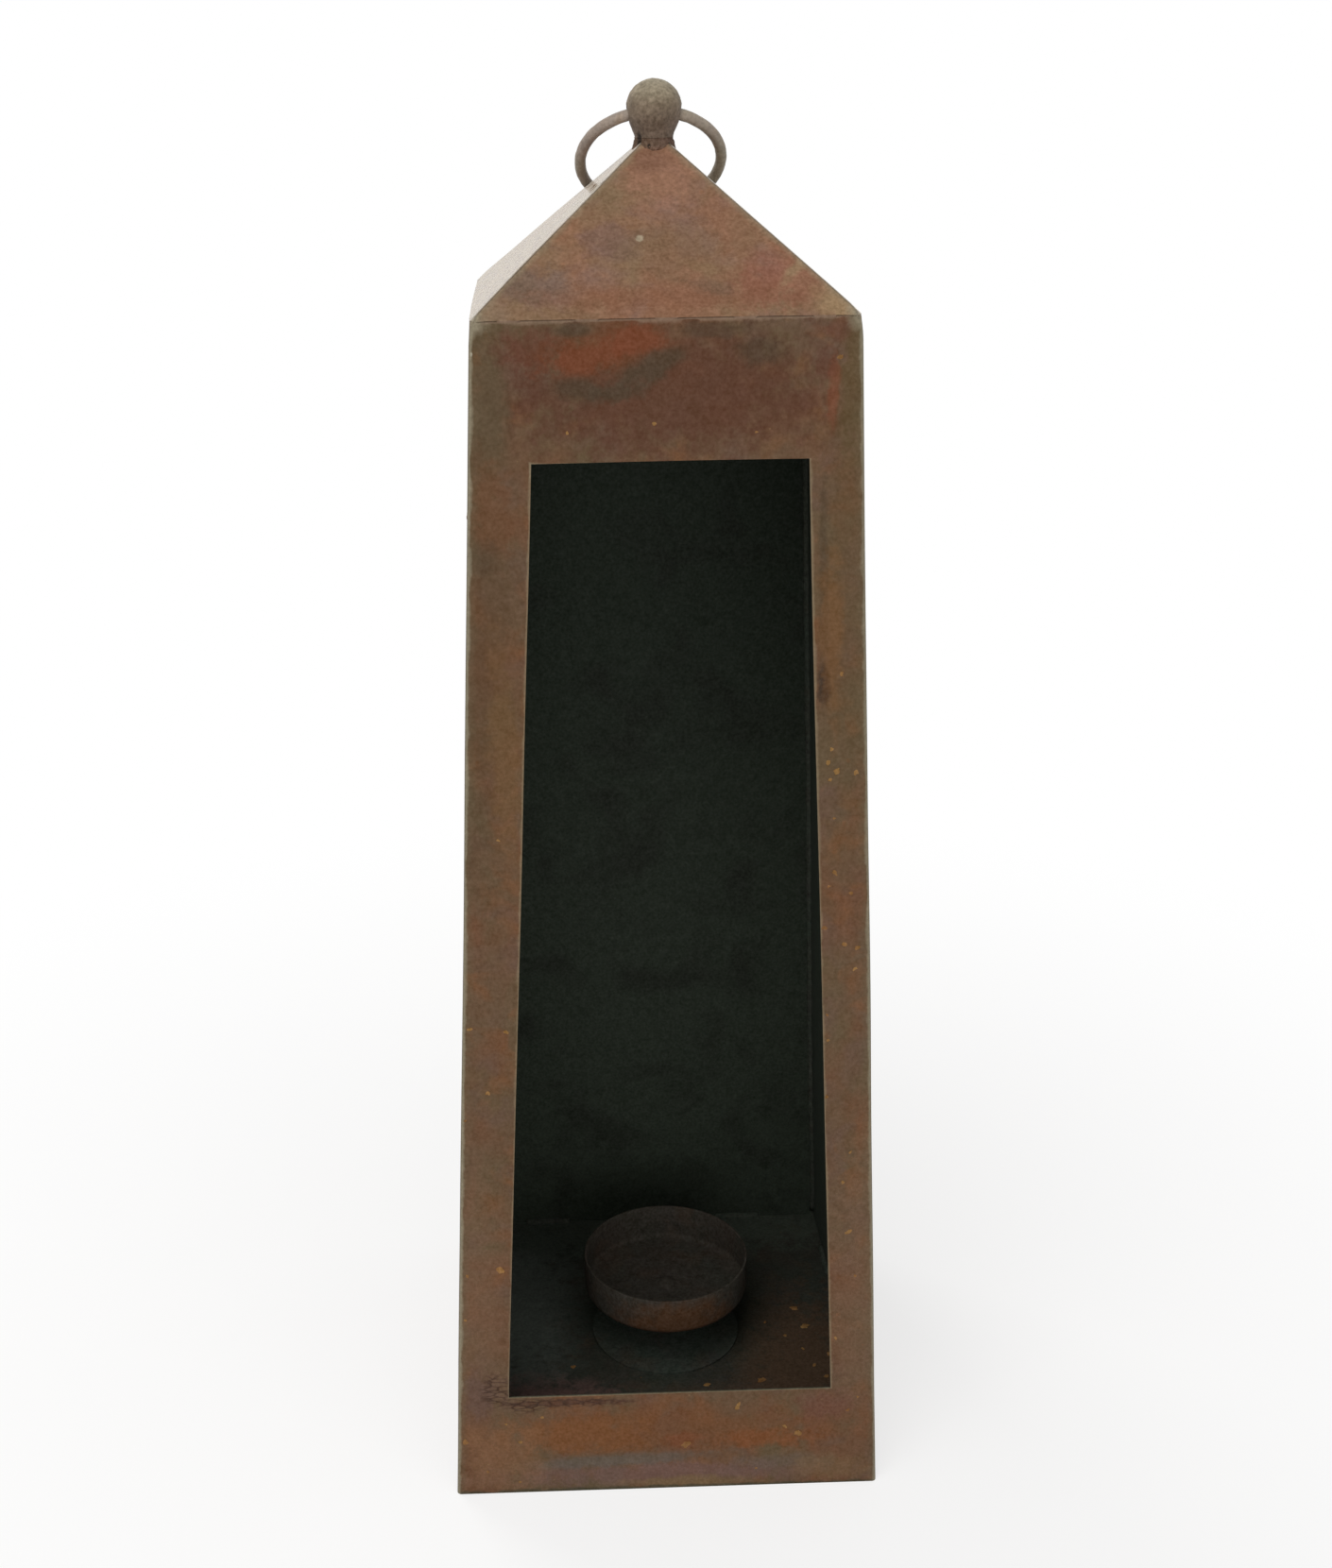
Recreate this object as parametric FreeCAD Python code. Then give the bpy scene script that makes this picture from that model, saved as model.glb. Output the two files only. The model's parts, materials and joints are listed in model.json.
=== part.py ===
"""Rusted sheet-steel tower lantern with an open front, a pyramid roof and a swinging ring, in millimetres.

The frame has its origin on the ground at the middle of the base. +Z is up, and the open window faces -Y.
Four tapered wall panels are brazed into a tower. Four roof facets stand on it and on a collar inside it.
A ball finial is riveted through the roof's tip, and the ring swings in a hole that crosses the ball.
A folded floor inside the foot carries a drawn candle cup on a riveted stem.
"""

import FreeCAD, Part
import math
import os

V = FreeCAD.Vector

# Tower, whose upright corners are ground round
bottom_width = 180.0
top_width = 136.0
tower_height = 488.0
sheet = 1.0
corner_radius = 1.8

# Window
window_margin = 20.0
window_top_margin = 21.0
window_shift = 1.3
sill_height = 48.0
lintel_height = 49.0

# Floor, which is folded down at its four edges and stands on the ground
floor_height = 14.0

# Roof, with rounded ridges and a tip that is cut off level
roof_rise = 58.8
ridge_radius = 2.7
tip_half_width = 4.0
eave_corner_radius = 6.0

# Collar that joins the roof to the tower, inside both
collar_depth = 12.0

# Seam under the eaves, with braze tacks that fill it in places
seam_depth = 0.6
tack_length = 8.0
tacks_per_side = 5

# Braze beads in the inner corners, under the ridges and along the floor
bead_radius = 2.0
bead_end_gap = 3.0
floor_bead_length = 22.0
floor_bead_spread_share = 0.55

# Candle cup
cup_radius = 37.5
cup_wall = 1.0
cup_depth = 18.0
cup_inner_radius = 2.5
cup_rim_radius = 0.3
cup_base_height = 38.5
cup_shift = 5.5

# Stem under the cup, with its foot disc and its rivet
foot_radius = 34.0
foot_thickness = 1.0
stem_radius = 6.0
rivet_radius = 2.5
rivet_head_radius = 5.0
rivet_head_height = 1.8

# Ball finial, cast with a collar that stands on the neck. The ring's hole crosses it under its middle.
ball_radius = 10.4
ball_collar_height = 2.4
ring_hole_above_apex = 5.4
ball_above_ring_hole = 1.8

# Neck, as wide as the ball's collar, with a braze bead round its foot
neck_radius = 7.1
neck_bead_width = 1.1
neck_bead_height = 2.6

# Pin that holds ball and neck to the roof, and its washer under the tip
pin_radius = 3.0
pin_bridge = 1.2
washer_radius = 6.0
washer_thickness = 1.2
washer_gap = 0.1
pin_head_radius = 4.6
pin_head_height = 1.8

# Ring
ring_radius = 26.6
wire_radius = 2.1
ring_hole_gap = 0.22
ring_rest_gap = 0.3

# How far a cutting solid runs past what it cuts
overrun = 5.0

UP = V(0, 0, 1)
HALF_SHARE = 0.5
full_turn_deg = 360.0

half_bottom = bottom_width * HALF_SHARE
half_top = top_width * HALF_SHARE
wall_slope = (half_bottom - half_top) / tower_height
# A wall leans, so its thickness along the ground is a little more than the sheet's.
wall_across = sheet * math.hypot(1, wall_slope)

apex_height = tower_height + roof_rise
roof_slope = roof_rise / half_top
roof_angle = math.atan(roof_slope)
roof_drop = sheet / math.cos(roof_angle)
tip_height = apex_height - tip_half_width * roof_slope

ring_hole_height = apex_height + ring_hole_above_apex
ball_height = ring_hole_height + ball_above_ring_hole
# The collar leaves the ball where the ball is as narrow as the neck.
collar_top = ball_height - math.sqrt(ball_radius ** 2 - neck_radius ** 2)
seat_height = collar_top - ball_collar_height

# A straight hole takes a bent wire, so it is wider than the wire by half the wire's bow in it.
wire_bow = ring_radius - math.sqrt(ring_radius ** 2 - ball_radius ** 2)
pivot_offset = wire_bow * HALF_SHARE
ring_hole_radius = wire_radius + pivot_offset + ring_hole_gap


def half_width(z):
    """Half the tower's outer width at a height."""
    return half_bottom - wall_slope * z


def solid_from_faces(outlines):
    """A closed solid from its flat faces, each given by its corners anticlockwise from outside."""
    faces = [Part.Face(Part.makePolygon(corners + corners[:1])) for corners in outlines]
    return Part.Solid(Part.Shell(faces))


def block(low, high):
    """A solid between two outlines of four corners each, the low one under the high one."""
    sides = [[low[i], low[(i + 1) % 4], high[(i + 1) % 4], high[i]] for i in range(4)]
    return solid_from_faces([low[::-1], high] + sides)


def rectangle(x0, y0, x1, y1, z):
    """The four corners of a level rectangle."""
    return [V(x0, y0, z), V(x1, y0, z), V(x1, y1, z), V(x0, y1, z)]


def square(half, z):
    """The four corners of a level square about the upright axis."""
    return rectangle(-half, -half, half, half, z)


def quarter_turns(shape, count):
    """A copy of a shape turned about the upright axis by a number of quarter turns."""
    copy = shape.copy()
    copy.rotate(V(0, 0, 0), UP, count * full_turn_deg / 4)
    return copy


def four_turns(shape):
    """A shape and its three quarter turns as one group."""
    return Part.makeCompound([quarter_turns(shape, count) for count in range(4)])


def tower_room(inset, z0, z1):
    """The space inside the tower's outer faces, taken in by an inset, between two heights."""
    return block(square(half_width(z0) - inset, z0), square(half_width(z1) - inset, z1))


def roof_room(drop, z0):
    """The space under the roof's outer faces lowered by a drop, from a height up to the tip."""
    low = (apex_height - drop - z0) / roof_slope
    high = (apex_height - drop - tip_height) / roof_slope
    return block(square(low, z0), square(high, tip_height))


def round_slanted_edges(solid, radius):
    """A solid with its four edges that aren't level rounded."""
    slanted = [e for e in solid.Edges if abs(e.Vertexes[0].Z - e.Vertexes[-1].Z) > tip_half_width]
    return solid.makeFillet(radius, slanted)


def tower_hull():
    """The tower's outer form, with its upright corners rounded."""
    return round_slanted_edges(tower_room(0, 0, tower_height), corner_radius)


def eave_corner_cutter():
    """What is ground off the corner where ridge, eaves and tower meet, on the -X -Y side."""
    diagonal = V(-1, -1, 0).normalize()
    across = V(1, -1, 0).normalize()
    corner_reach = half_top * math.sqrt(2) - corner_radius * (math.sqrt(2) - 1)
    corner = diagonal * corner_reach + UP * tower_height
    up_ridge = (diagonal * (-half_top * math.sqrt(2)) + UP * roof_rise).normalize()
    down_tower = (diagonal * (wall_slope * math.sqrt(2)) - UP).normalize()
    half_turn = up_ridge.getAngle(down_tower * -1) * HALF_SHARE
    inward = (up_ridge + down_tower).normalize()
    run = eave_corner_radius * math.tan(half_turn)
    start = corner + up_ridge * run
    end = corner + down_tower * run
    middle = corner + inward * (eave_corner_radius / math.cos(half_turn) - eave_corner_radius)
    far_end = end - inward * overrun
    far_start = start - inward * overrun
    edges = [Part.Arc(start, middle, end).toShape()]
    edges += Part.makePolygon([end, far_end, far_start, start]).Edges
    face = Part.Face(Part.Wire(edges))
    face.translate(across * -overrun)
    return face.extrude(across * (overrun + overrun))


def eave_seam():
    """The groove that runs round the tower just under the eaves, as a solid."""
    z0 = tower_height - seam_depth
    band = tower_hull().common(tower_room(-overrun, z0, tower_height))
    core = block(square(half_width(z0), z0), square(half_top - seam_depth, tower_height))
    return band.cut(core)


def trim_panel(panel):
    """A wall panel with its seam groove and its ground eave corners."""
    return panel.cut(eave_seam()).cut(four_turns(eave_corner_cutter()))


def across_panel():
    """A full-width wall on the -Y side."""
    def region(z):
        reach = half_bottom + overrun
        return rectangle(-reach, -reach, reach, wall_across - half_width(z), z)

    return trim_panel(tower_hull().common(block(region(0), region(tower_height))))


def side_panel():
    """A side wall on the -X side, between the front and back walls."""
    def region(z):
        inner = half_width(z) - wall_across
        return rectangle(-half_bottom - overrun, -inner, -inner, inner, z)

    return trim_panel(tower_hull().common(block(region(0), region(tower_height))))


def front_panel():
    """The front wall with its window, which leaves margins at its sides at the sill and at the top."""
    def opening(z, margin):
        half = half_width(z) - margin
        y0 = -half_bottom - overrun
        y1 = overrun - half_top
        return rectangle(window_shift - half, y0, window_shift + half, y1, z)

    sill = opening(sill_height, window_margin)
    top = opening(tower_height - lintel_height, window_top_margin)
    return across_panel().cut(block(sill, top))


def eave_collar():
    """A square band inside the tower's top edge, which the roof stands on."""
    z0 = tower_height - collar_depth
    outer = tower_room(wall_across, z0, tower_height)
    return outer.cut(tower_room(wall_across + wall_across, z0, tower_height))


def eave_tacks():
    """Braze tacks that fill the seam under the eaves in evenly spaced places."""
    seam = eave_seam()
    pitch = top_width / tacks_per_side
    side = []
    for count in range(tacks_per_side):
        x0 = (count + HALF_SHARE) * pitch - half_top - tack_length * HALF_SHARE
        x1 = x0 + tack_length
        y0 = -half_top - overrun
        y1 = -half_top * HALF_SHARE
        low = rectangle(x0, y0, x1, y1, tower_height - overrun)
        high = rectangle(x0, y0, x1, y1, tower_height + overrun)
        side.append(seam.common(block(low, high)))
    return four_turns(Part.makeCompound(side))


def rivet_hole():
    """The upright hole that the cup's rivet passes through, from the ground to the cup's rim."""
    return Part.makeCylinder(rivet_radius, cup_base_height + cup_depth, V(cup_shift, 0, 0), UP)


def floor_plate():
    """A floor with its four edges folded down to the ground, tight inside the walls."""
    outer = tower_room(wall_across, 0, floor_height)
    hollow = tower_room(wall_across + wall_across, 0, floor_height - sheet)
    return outer.cut(hollow).cut(rivet_hole())


def bead(start, end, room):
    """A braze bead along an inner edge: the part of a rod about that edge that lies in the room."""
    return Part.makeCylinder(bead_radius, (end - start).Length, start, end - start).common(room)


def floor_braze():
    """Two beads along each edge of the floor, in the corner that it makes with the wall."""
    inner = half_width(floor_height) - wall_across
    room = tower_room(wall_across, floor_height, floor_height + bead_radius + bead_radius)
    beads = []
    for side in (-1, 1):
        middle = side * inner * floor_bead_spread_share
        half_length = floor_bead_length * HALF_SHARE
        start = V(middle - half_length, -inner, floor_height)
        beads.append(bead(start, V(middle + half_length, -inner, floor_height), room))
    return four_turns(Part.makeCompound(beads))


def corner_braze():
    """Four upright beads in the tower's inner corners, from over the floor to under the collar."""
    z0 = floor_height + bead_end_gap
    z1 = tower_height - collar_depth - bead_end_gap
    low = half_width(z0) - wall_across
    high = half_width(z1) - wall_across
    return four_turns(bead(V(low, low, z0), V(high, high, z1), tower_room(wall_across, 0, tower_height)))


def ridge_braze():
    """Four beads under the roof's ridges, between the collar and the tip."""
    def on_ridge(z):
        half = (apex_height - roof_drop - z) / roof_slope
        return V(half, half, z)

    low = on_ridge(tower_height + bead_end_gap)
    high = on_ridge(washer_top() - washer_thickness - pin_head_height - bead_end_gap)
    return four_turns(bead(low, high, roof_room(roof_drop, tower_height)))


def roof_facet():
    """The roof's facet on the -Y side, mitred to its neighbours along the ridges."""
    hull = round_slanted_edges(roof_room(0, tower_height), ridge_radius)
    shell = hull.cut(roof_room(roof_drop, tower_height)).cut(four_turns(eave_corner_cutter()))
    reach = half_top + overrun
    corners = [V(0, 0, tower_height), V(-reach, -reach, tower_height), V(reach, -reach, tower_height)]
    wedge = Part.Face(Part.makePolygon(corners + corners[:1])).extrude(UP * roof_rise)
    bore = Part.makeCylinder(pin_radius, roof_rise, V(0, 0, tower_height), UP)
    return shell.common(wedge).cut(bore)


def washer_top():
    """The height at which the washer's rim meets the roof's facets from below."""
    return apex_height - roof_drop - washer_radius * roof_slope - washer_gap


def washer_base():
    """The height of the washer's lower face."""
    return washer_top() - washer_thickness


def pin_shank():
    """The pin's shank, which ends inside the ball a little under the ring's hole."""
    length = ring_hole_height - ring_hole_radius - pin_bridge - washer_base()
    return Part.makeCylinder(pin_radius, length, V(0, 0, washer_base()), UP)


def finial_washer():
    """The washer under the tip."""
    disc = Part.makeCylinder(washer_radius, washer_thickness, V(0, 0, washer_base()), UP)
    return disc.cut(pin_shank())


def finial_pin():
    """The pin through ball, neck, tip and washer, with its peened head under the washer."""
    base = V(0, 0, washer_base() - pin_head_height)
    head = Part.makeCone(pin_head_radius * HALF_SHARE, pin_head_radius, pin_head_height, base, UP)
    return pin_shank().fuse(head).removeSplitter()


def finial_neck():
    """The neck between the roof's facets and the ball's level seat."""
    rod = Part.makeCylinder(neck_radius, seat_height - tower_height, V(0, 0, tower_height), UP)
    return rod.cut(roof_room(0, tower_height)).cut(pin_shank())


def neck_braze():
    """The bead round the neck's foot, on the four facets."""
    wide = neck_radius + neck_bead_width
    z0 = apex_height - wide * roof_slope
    z1 = apex_height - neck_radius * roof_slope + neck_bead_height
    collar = Part.makeCylinder(wide, z0 - tower_height, V(0, 0, tower_height), UP)
    collar = collar.fuse(Part.makeCone(wide, neck_radius, z1 - z0, V(0, 0, z0), UP))
    bore = Part.makeCylinder(neck_radius, roof_rise, V(0, 0, tower_height), UP)
    return collar.cut(bore).cut(roof_room(0, tower_height))


def finial_ball():
    """The ball and its collar, with the ring's hole across the ball and the pin's socket from below."""
    centre = UP * ball_height
    top = centre + UP * ball_radius
    collar_edge = V(neck_radius, 0, collar_top)
    arc = Part.Arc(top, centre + V(ball_radius, 0, 0), collar_edge).toShape()
    lines = Part.makePolygon([collar_edge, V(neck_radius, 0, seat_height), UP * seat_height, top]).Edges
    ball = Part.Face(Part.Wire([arc] + lines)).revolve(centre, UP, full_turn_deg)
    reach = ball_radius + overrun
    hole = Part.makeCylinder(ring_hole_radius, reach + reach, V(-reach, 0, ring_hole_height), V(1, 0, 0))
    return ball.cut(hole).cut(pin_shank())


def ring_rest_angle():
    """The ring's lean from hanging straight down, where it lies on the roof's back slope."""
    pivot_above_slope = ring_hole_above_apex * math.cos(roof_angle)
    far_point = ring_radius - pivot_offset + ring_radius
    tip = math.asin((pivot_above_slope - wire_radius - ring_rest_gap) / far_point)
    return math.pi / 2 - roof_angle - tip


def hanging_ring():
    """The ring, threaded through the ball and leaning back on the roof."""
    lean = ring_rest_angle()
    downhill = V(0, math.sin(lean), -math.cos(lean))
    centre = UP * ring_hole_height + downhill * (ring_radius - pivot_offset)
    return Part.makeTorus(ring_radius, wire_radius, centre, V(0, math.cos(lean), math.sin(lean)))


def round_edges_at(solid, z, radius):
    """A turned solid with its circular edges at a height rounded."""
    near = cup_wall * HALF_SHARE
    circles = [e for e in solid.Edges if e.isClosed() and abs(e.CenterOfMass.z - z) < near]
    return solid.makeFillet(radius, circles)


def candle_cup():
    """A drawn cup with a rounded corner between its base and its wall."""
    z0 = cup_base_height
    centre = V(cup_shift, 0, 0)
    outer = Part.makeCylinder(cup_radius, cup_depth, centre + UP * z0, UP)
    outer = round_edges_at(outer, z0, cup_inner_radius + cup_wall)
    inner = Part.makeCylinder(cup_radius - cup_wall, cup_depth, centre + UP * (z0 + cup_wall), UP)
    inner = round_edges_at(inner, z0 + cup_wall, cup_inner_radius)
    cup = round_edges_at(outer.cut(inner), z0 + cup_depth, cup_rim_radius)
    return cup.cut(rivet_hole())


def cup_foot():
    """The disc that spreads the stem's load on the floor."""
    disc = Part.makeCylinder(foot_radius, foot_thickness, V(cup_shift, 0, floor_height), UP)
    return disc.cut(rivet_hole())


def cup_stem():
    """The tube between the foot disc and the cup."""
    z0 = floor_height + foot_thickness
    tube = Part.makeCylinder(stem_radius, cup_base_height - z0, V(cup_shift, 0, z0), UP)
    return tube.cut(rivet_hole())


def rivet_head(z, direction):
    """A low domed head that stands on a level face, up or down."""
    double_height = rivet_head_height + rivet_head_height
    dome_radius = (rivet_head_radius ** 2 + rivet_head_height ** 2) / double_height
    centre = V(cup_shift, 0, z + direction * (rivet_head_height - dome_radius))
    face = V(cup_shift, 0, z)
    slab = Part.makeCylinder(rivet_head_radius, rivet_head_height, face, UP * direction)
    return Part.makeSphere(dome_radius, centre).common(slab)


def cup_rivet():
    """The rivet through cup, stem, foot and floor, with a head at each end."""
    z0 = floor_height - sheet
    z1 = cup_base_height + cup_wall
    shank = Part.makeCylinder(rivet_radius, z1 - z0, V(cup_shift, 0, z0), UP)
    return shank.fuse([rivet_head(z1, 1), rivet_head(z0, -1)]).removeSplitter()


def build():
    """Every node of the lantern by name."""
    facet = roof_facet()
    side = side_panel()
    return {
        "front_panel": front_panel(),
        "right_panel": quarter_turns(side, 2),
        "back_panel": quarter_turns(across_panel(), 2),
        "left_panel": side,
        "corner_braze": corner_braze(),
        "floor_plate": floor_plate(),
        "floor_braze": floor_braze(),
        "eave_collar": eave_collar(),
        "eave_tacks": eave_tacks(),
        "roof_front": facet,
        "roof_right": quarter_turns(facet, 1),
        "roof_back": quarter_turns(facet, 2),
        "roof_left": quarter_turns(facet, 3),
        "ridge_braze": ridge_braze(),
        "finial_washer": finial_washer(),
        "finial_pin": finial_pin(),
        "finial_neck": finial_neck(),
        "neck_braze": neck_braze(),
        "finial_ball": finial_ball(),
        "hanging_ring": hanging_ring(),
        "cup_foot": cup_foot(),
        "cup_stem": cup_stem(),
        "candle_cup": candle_cup(),
        "cup_rivet": cup_rivet(),
    }


def main():
    """Write one file per node and print what each holds."""
    os.makedirs("parts", exist_ok=True)
    for name, shape in build().items():
        shape.exportStep("parts/" + name + ".step")
        box = shape.BoundBox
        low = [round(v, 2) for v in (box.XMin, box.YMin, box.ZMin)]
        high = [round(v, 2) for v in (box.XMax, box.YMax, box.ZMax)]
        print(name, len(shape.Solids), shape.isValid(), round(shape.Volume, 1), low, high)
    print("ring hole radius", round(ring_hole_radius, 3))
    print("ring lean in degrees", round(math.degrees(ring_rest_angle()), 2))


main()
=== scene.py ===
"""Looks of the rusted sheet-steel tower lantern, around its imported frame."""

import json
import math
import random

import bmesh
import bpy
from mathutils import Matrix, Vector, noise


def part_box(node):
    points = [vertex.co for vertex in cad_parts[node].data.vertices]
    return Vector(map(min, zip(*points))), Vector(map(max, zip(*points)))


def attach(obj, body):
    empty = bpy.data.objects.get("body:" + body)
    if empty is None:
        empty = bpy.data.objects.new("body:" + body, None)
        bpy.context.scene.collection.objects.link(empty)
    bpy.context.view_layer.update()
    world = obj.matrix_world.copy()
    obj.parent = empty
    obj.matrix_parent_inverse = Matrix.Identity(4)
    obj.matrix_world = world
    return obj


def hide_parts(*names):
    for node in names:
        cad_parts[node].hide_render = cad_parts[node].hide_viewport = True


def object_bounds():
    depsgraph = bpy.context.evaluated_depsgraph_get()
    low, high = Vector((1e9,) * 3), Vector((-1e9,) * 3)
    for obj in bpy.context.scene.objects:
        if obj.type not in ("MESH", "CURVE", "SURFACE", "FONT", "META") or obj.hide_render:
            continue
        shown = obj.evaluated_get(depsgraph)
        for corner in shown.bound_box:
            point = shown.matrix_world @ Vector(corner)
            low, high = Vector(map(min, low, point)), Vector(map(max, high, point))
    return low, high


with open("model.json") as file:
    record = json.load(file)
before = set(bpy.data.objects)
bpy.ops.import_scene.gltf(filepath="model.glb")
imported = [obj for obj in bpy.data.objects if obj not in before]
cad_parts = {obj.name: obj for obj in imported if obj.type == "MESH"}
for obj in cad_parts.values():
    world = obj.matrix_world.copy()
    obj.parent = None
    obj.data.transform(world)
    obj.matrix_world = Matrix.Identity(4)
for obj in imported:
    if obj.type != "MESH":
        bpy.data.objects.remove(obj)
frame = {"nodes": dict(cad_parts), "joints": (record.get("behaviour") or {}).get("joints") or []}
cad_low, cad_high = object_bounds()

MM = 0.001
PICTURE_WIDTH = 1410
PICTURE_HEIGHT = 1660
SEED = 7

# Python's random numbers and the noise each keep a seed of their own
random.seed(SEED)
noise.seed_set(SEED)


def linear(hex_colour):
    """A linear colour from an sRGB hex value."""
    channels = [int(hex_colour[i:i + 2], 16) / 255 for i in (1, 3, 5)]
    return [c / 12.92 if c <= 0.04045 else ((c + 0.055) / 1.055) ** 2.4 for c in channels] + [1.0]


def add(tree, kind, inputs=None, **settings):
    """Adds a shader node with its settings. Each input is a socket to link or a value."""
    node = tree.nodes.new("ShaderNode" + kind)
    for name, value in settings.items():
        setattr(node, name, value)
    for key, value in (inputs or {}).items():
        if isinstance(value, bpy.types.NodeSocket):
            tree.links.new(value, node.inputs[key])
        else:
            node.inputs[key].default_value = value
    return node


def per_mm(size):
    """The scale of a pattern whose features are about this many millimetres wide."""
    return 1 / (size * MM)


def smooth_share(value, start, end):
    """0 at the start, 1 at the end and smooth between them."""
    share = min(1.0, max(0.0, (value - start) / (end - start)))
    return share * share * (3 - 2 * share)


# Camera, from its place and aim in front of the lantern

CAMERA_PLACE = Vector((-47.4, -724.7, 574.3)) * MM
CAMERA_YAW = 1.405
CAMERA_PITCH = 21.697
CAMERA_ROLL = -0.856
FOCAL_PIXELS = 1979.7
AXIS_PIXEL = (616.9, 839.9)
SENSOR = 36.0


def make_camera():
    """The camera in front of the lantern. Its axis meets the picture a little left of the middle."""
    data = bpy.data.cameras.new("camera")
    data.sensor_width = SENSOR
    data.lens = SENSOR * FOCAL_PIXELS / PICTURE_HEIGHT
    data.shift_x = (PICTURE_WIDTH / 2 - AXIS_PIXEL[0]) / PICTURE_HEIGHT
    data.shift_y = (AXIS_PIXEL[1] - PICTURE_HEIGHT / 2) / PICTURE_HEIGHT
    data.clip_start = 0.01
    data.clip_end = 100
    yaw, pitch = math.radians(CAMERA_YAW), math.radians(CAMERA_PITCH)
    aim = Vector((math.sin(yaw) * math.cos(pitch), math.cos(yaw) * math.cos(pitch), -math.sin(pitch)))
    turn = aim.to_track_quat("-Z", "Y").to_matrix().to_4x4()
    roll = Matrix.Rotation(math.radians(CAMERA_ROLL), 4, "Z")
    camera = bpy.data.objects.new("camera", data)
    camera.matrix_world = Matrix.Translation(CAMERA_PLACE) @ turn @ roll
    bpy.context.scene.collection.objects.link(camera)
    bpy.context.scene.camera = camera


# Shapes that several pieces use

TOWER_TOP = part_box("front_panel")[1].z
BOTTOM_HALF = (cad_high.x - cad_low.x) / 2
TOP_HALF = -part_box("roof_front")[0].y
# The roof's rise over half its width, both in millimetres
ROOF_RISE, ROOF_HALF = 58.8, 68.0
ROOF_SLOPE = ROOF_RISE / ROOF_HALF
APEX = TOWER_TOP + TOP_HALF * ROOF_SLOPE
SHEET = 1.0 * MM
SHEET_GRID = 8 * MM
EDGE_ROUND = 0.18 * MM
SWAY = 0.45 * MM
SWAY_WAVE = 95 * MM
SWAY_START = Vector((3.1, 7.7, 1.9))
# Heights over which the sway sets in above the ground and dies out on the roof
SWAY_FOOT = (5 * MM, 60 * MM)
SWAY_HEAD = (500 * MM, 525 * MM)
CORNER_WEAR = 1.2 * MM
CORNER_DROP = 0.6
CORNER_CUTS = (1 * MM, 2 * MM, 3.5 * MM, 5.5 * MM)
# Depths in the sheet from where the soot and painted shade start and where they are whole, and the wear
# that a corner has when it is clean of them
SOOT_AND_SHADE_DEPTHS = (0.75 * SHEET, 0.98 * SHEET)
CLEAN_CORNER = 0.05
RIM_MARGIN = 10 * MM
# The window's sill, top and shift, and half its width as if it ran from the ground to the tower's top
WINDOW_SILL = 48 * MM
WINDOW_LINTEL = TOWER_TOP - 49 * MM
WINDOW_SHIFT = 1.3 * MM
WINDOW_HALF_LOW = 70.12 * MM
WINDOW_HALF_HIGH = 46.88 * MM
CORNER_REACH = 9 * MM


def half_width(z):
    """Half the tower's outer width at a height."""
    return BOTTOM_HALF + (TOP_HALF - BOTTOM_HALF) * z / TOWER_TOP


def eave_sides(point):
    """The signs of X and Y at the eave corner nearest to a point."""
    return math.copysign(1, point.x), math.copysign(1, point.y)


def corner_share(point):
    """1 at the nearest eave corner and 0 from its reach on."""
    side_x, side_y = eave_sides(point)
    corner = Vector((side_x * TOP_HALF, side_y * TOP_HALF, TOWER_TOP))
    return max(0.0, 1 - (point - corner).length / CORNER_REACH)


def worn_corner(point):
    """How far the nearest eave corner is worn back at a point."""
    side_x, side_y = eave_sides(point)
    inward = Vector((-side_x, -side_y, -CORNER_DROP)).normalized()
    return inward * CORNER_WEAR * corner_share(point) ** 2


def sway(point):
    """How far hand-bent sheet strays from true at a point. It is the same for all that meets there."""
    share = smooth_share(point.z, *SWAY_FOOT) * (1 - smooth_share(point.z, *SWAY_HEAD))
    bent = noise.noise_vector(point / SWAY_WAVE + SWAY_START) * SWAY * share
    return bent + worn_corner(point)


def cad_copy(node):
    """A CAD node's mesh with its points merged and its flat faces whole."""
    bm = bmesh.new()
    bm.from_mesh(frame["nodes"][node].data)
    bmesh.ops.remove_doubles(bm, verts=bm.verts[:], dist=0.001 * MM)
    bmesh.ops.dissolve_limit(bm, angle_limit=math.radians(0.3), verts=bm.verts[:], edges=bm.edges[:])
    return bm


def round_sharp_edges(bm, radius, least_angle=35):
    """Rounds the edges that turn by more than an angle."""
    least = math.radians(least_angle)
    sharp = [e for e in bm.edges if len(e.link_faces) == 2 and e.calc_face_angle() > least]
    bmesh.ops.bevel(
        bm, geom=sharp, offset=radius, offset_type="OFFSET", affect="EDGES",
        segments=2, profile=0.5, material=-1, clamp_overlap=True)


def cut_plane(bm, place, direction):
    """Cuts a mesh along the plane that lies through a place and across a direction."""
    geometry = bm.verts[:] + bm.edges[:] + bm.faces[:]
    bmesh.ops.bisect_plane(bm, geom=geometry, plane_co=place, plane_no=direction)


def cut_grid(bm, spacing):
    """Cuts a mesh along evenly spaced planes across X, Y and Z, so that it can bend."""
    for axis in range(3):
        low = min(v.co[axis] for v in bm.verts)
        high = max(v.co[axis] for v in bm.verts)
        count = int((high - low) / spacing)
        direction = Vector((axis == 0, axis == 1, axis == 2))
        for step in range(1, count):
            cut_plane(bm, direction * (low + (high - low) * step / count), direction)


def cut_by_corners(bm):
    """Cuts a mesh by planes close to the eave corners, so that they can be worn round."""
    for inset in CORNER_CUTS:
        for direction in (Vector((1, 0, 0)), Vector((0, 1, 0)), Vector((-1, 0, 0)), Vector((0, -1, 0))):
            cut_plane(bm, direction * (TOP_HALF - inset), direction)
        for z in (TOWER_TOP - inset, TOWER_TOP + inset):
            cut_plane(bm, (0, 0, z), (0, 0, 1))


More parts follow.
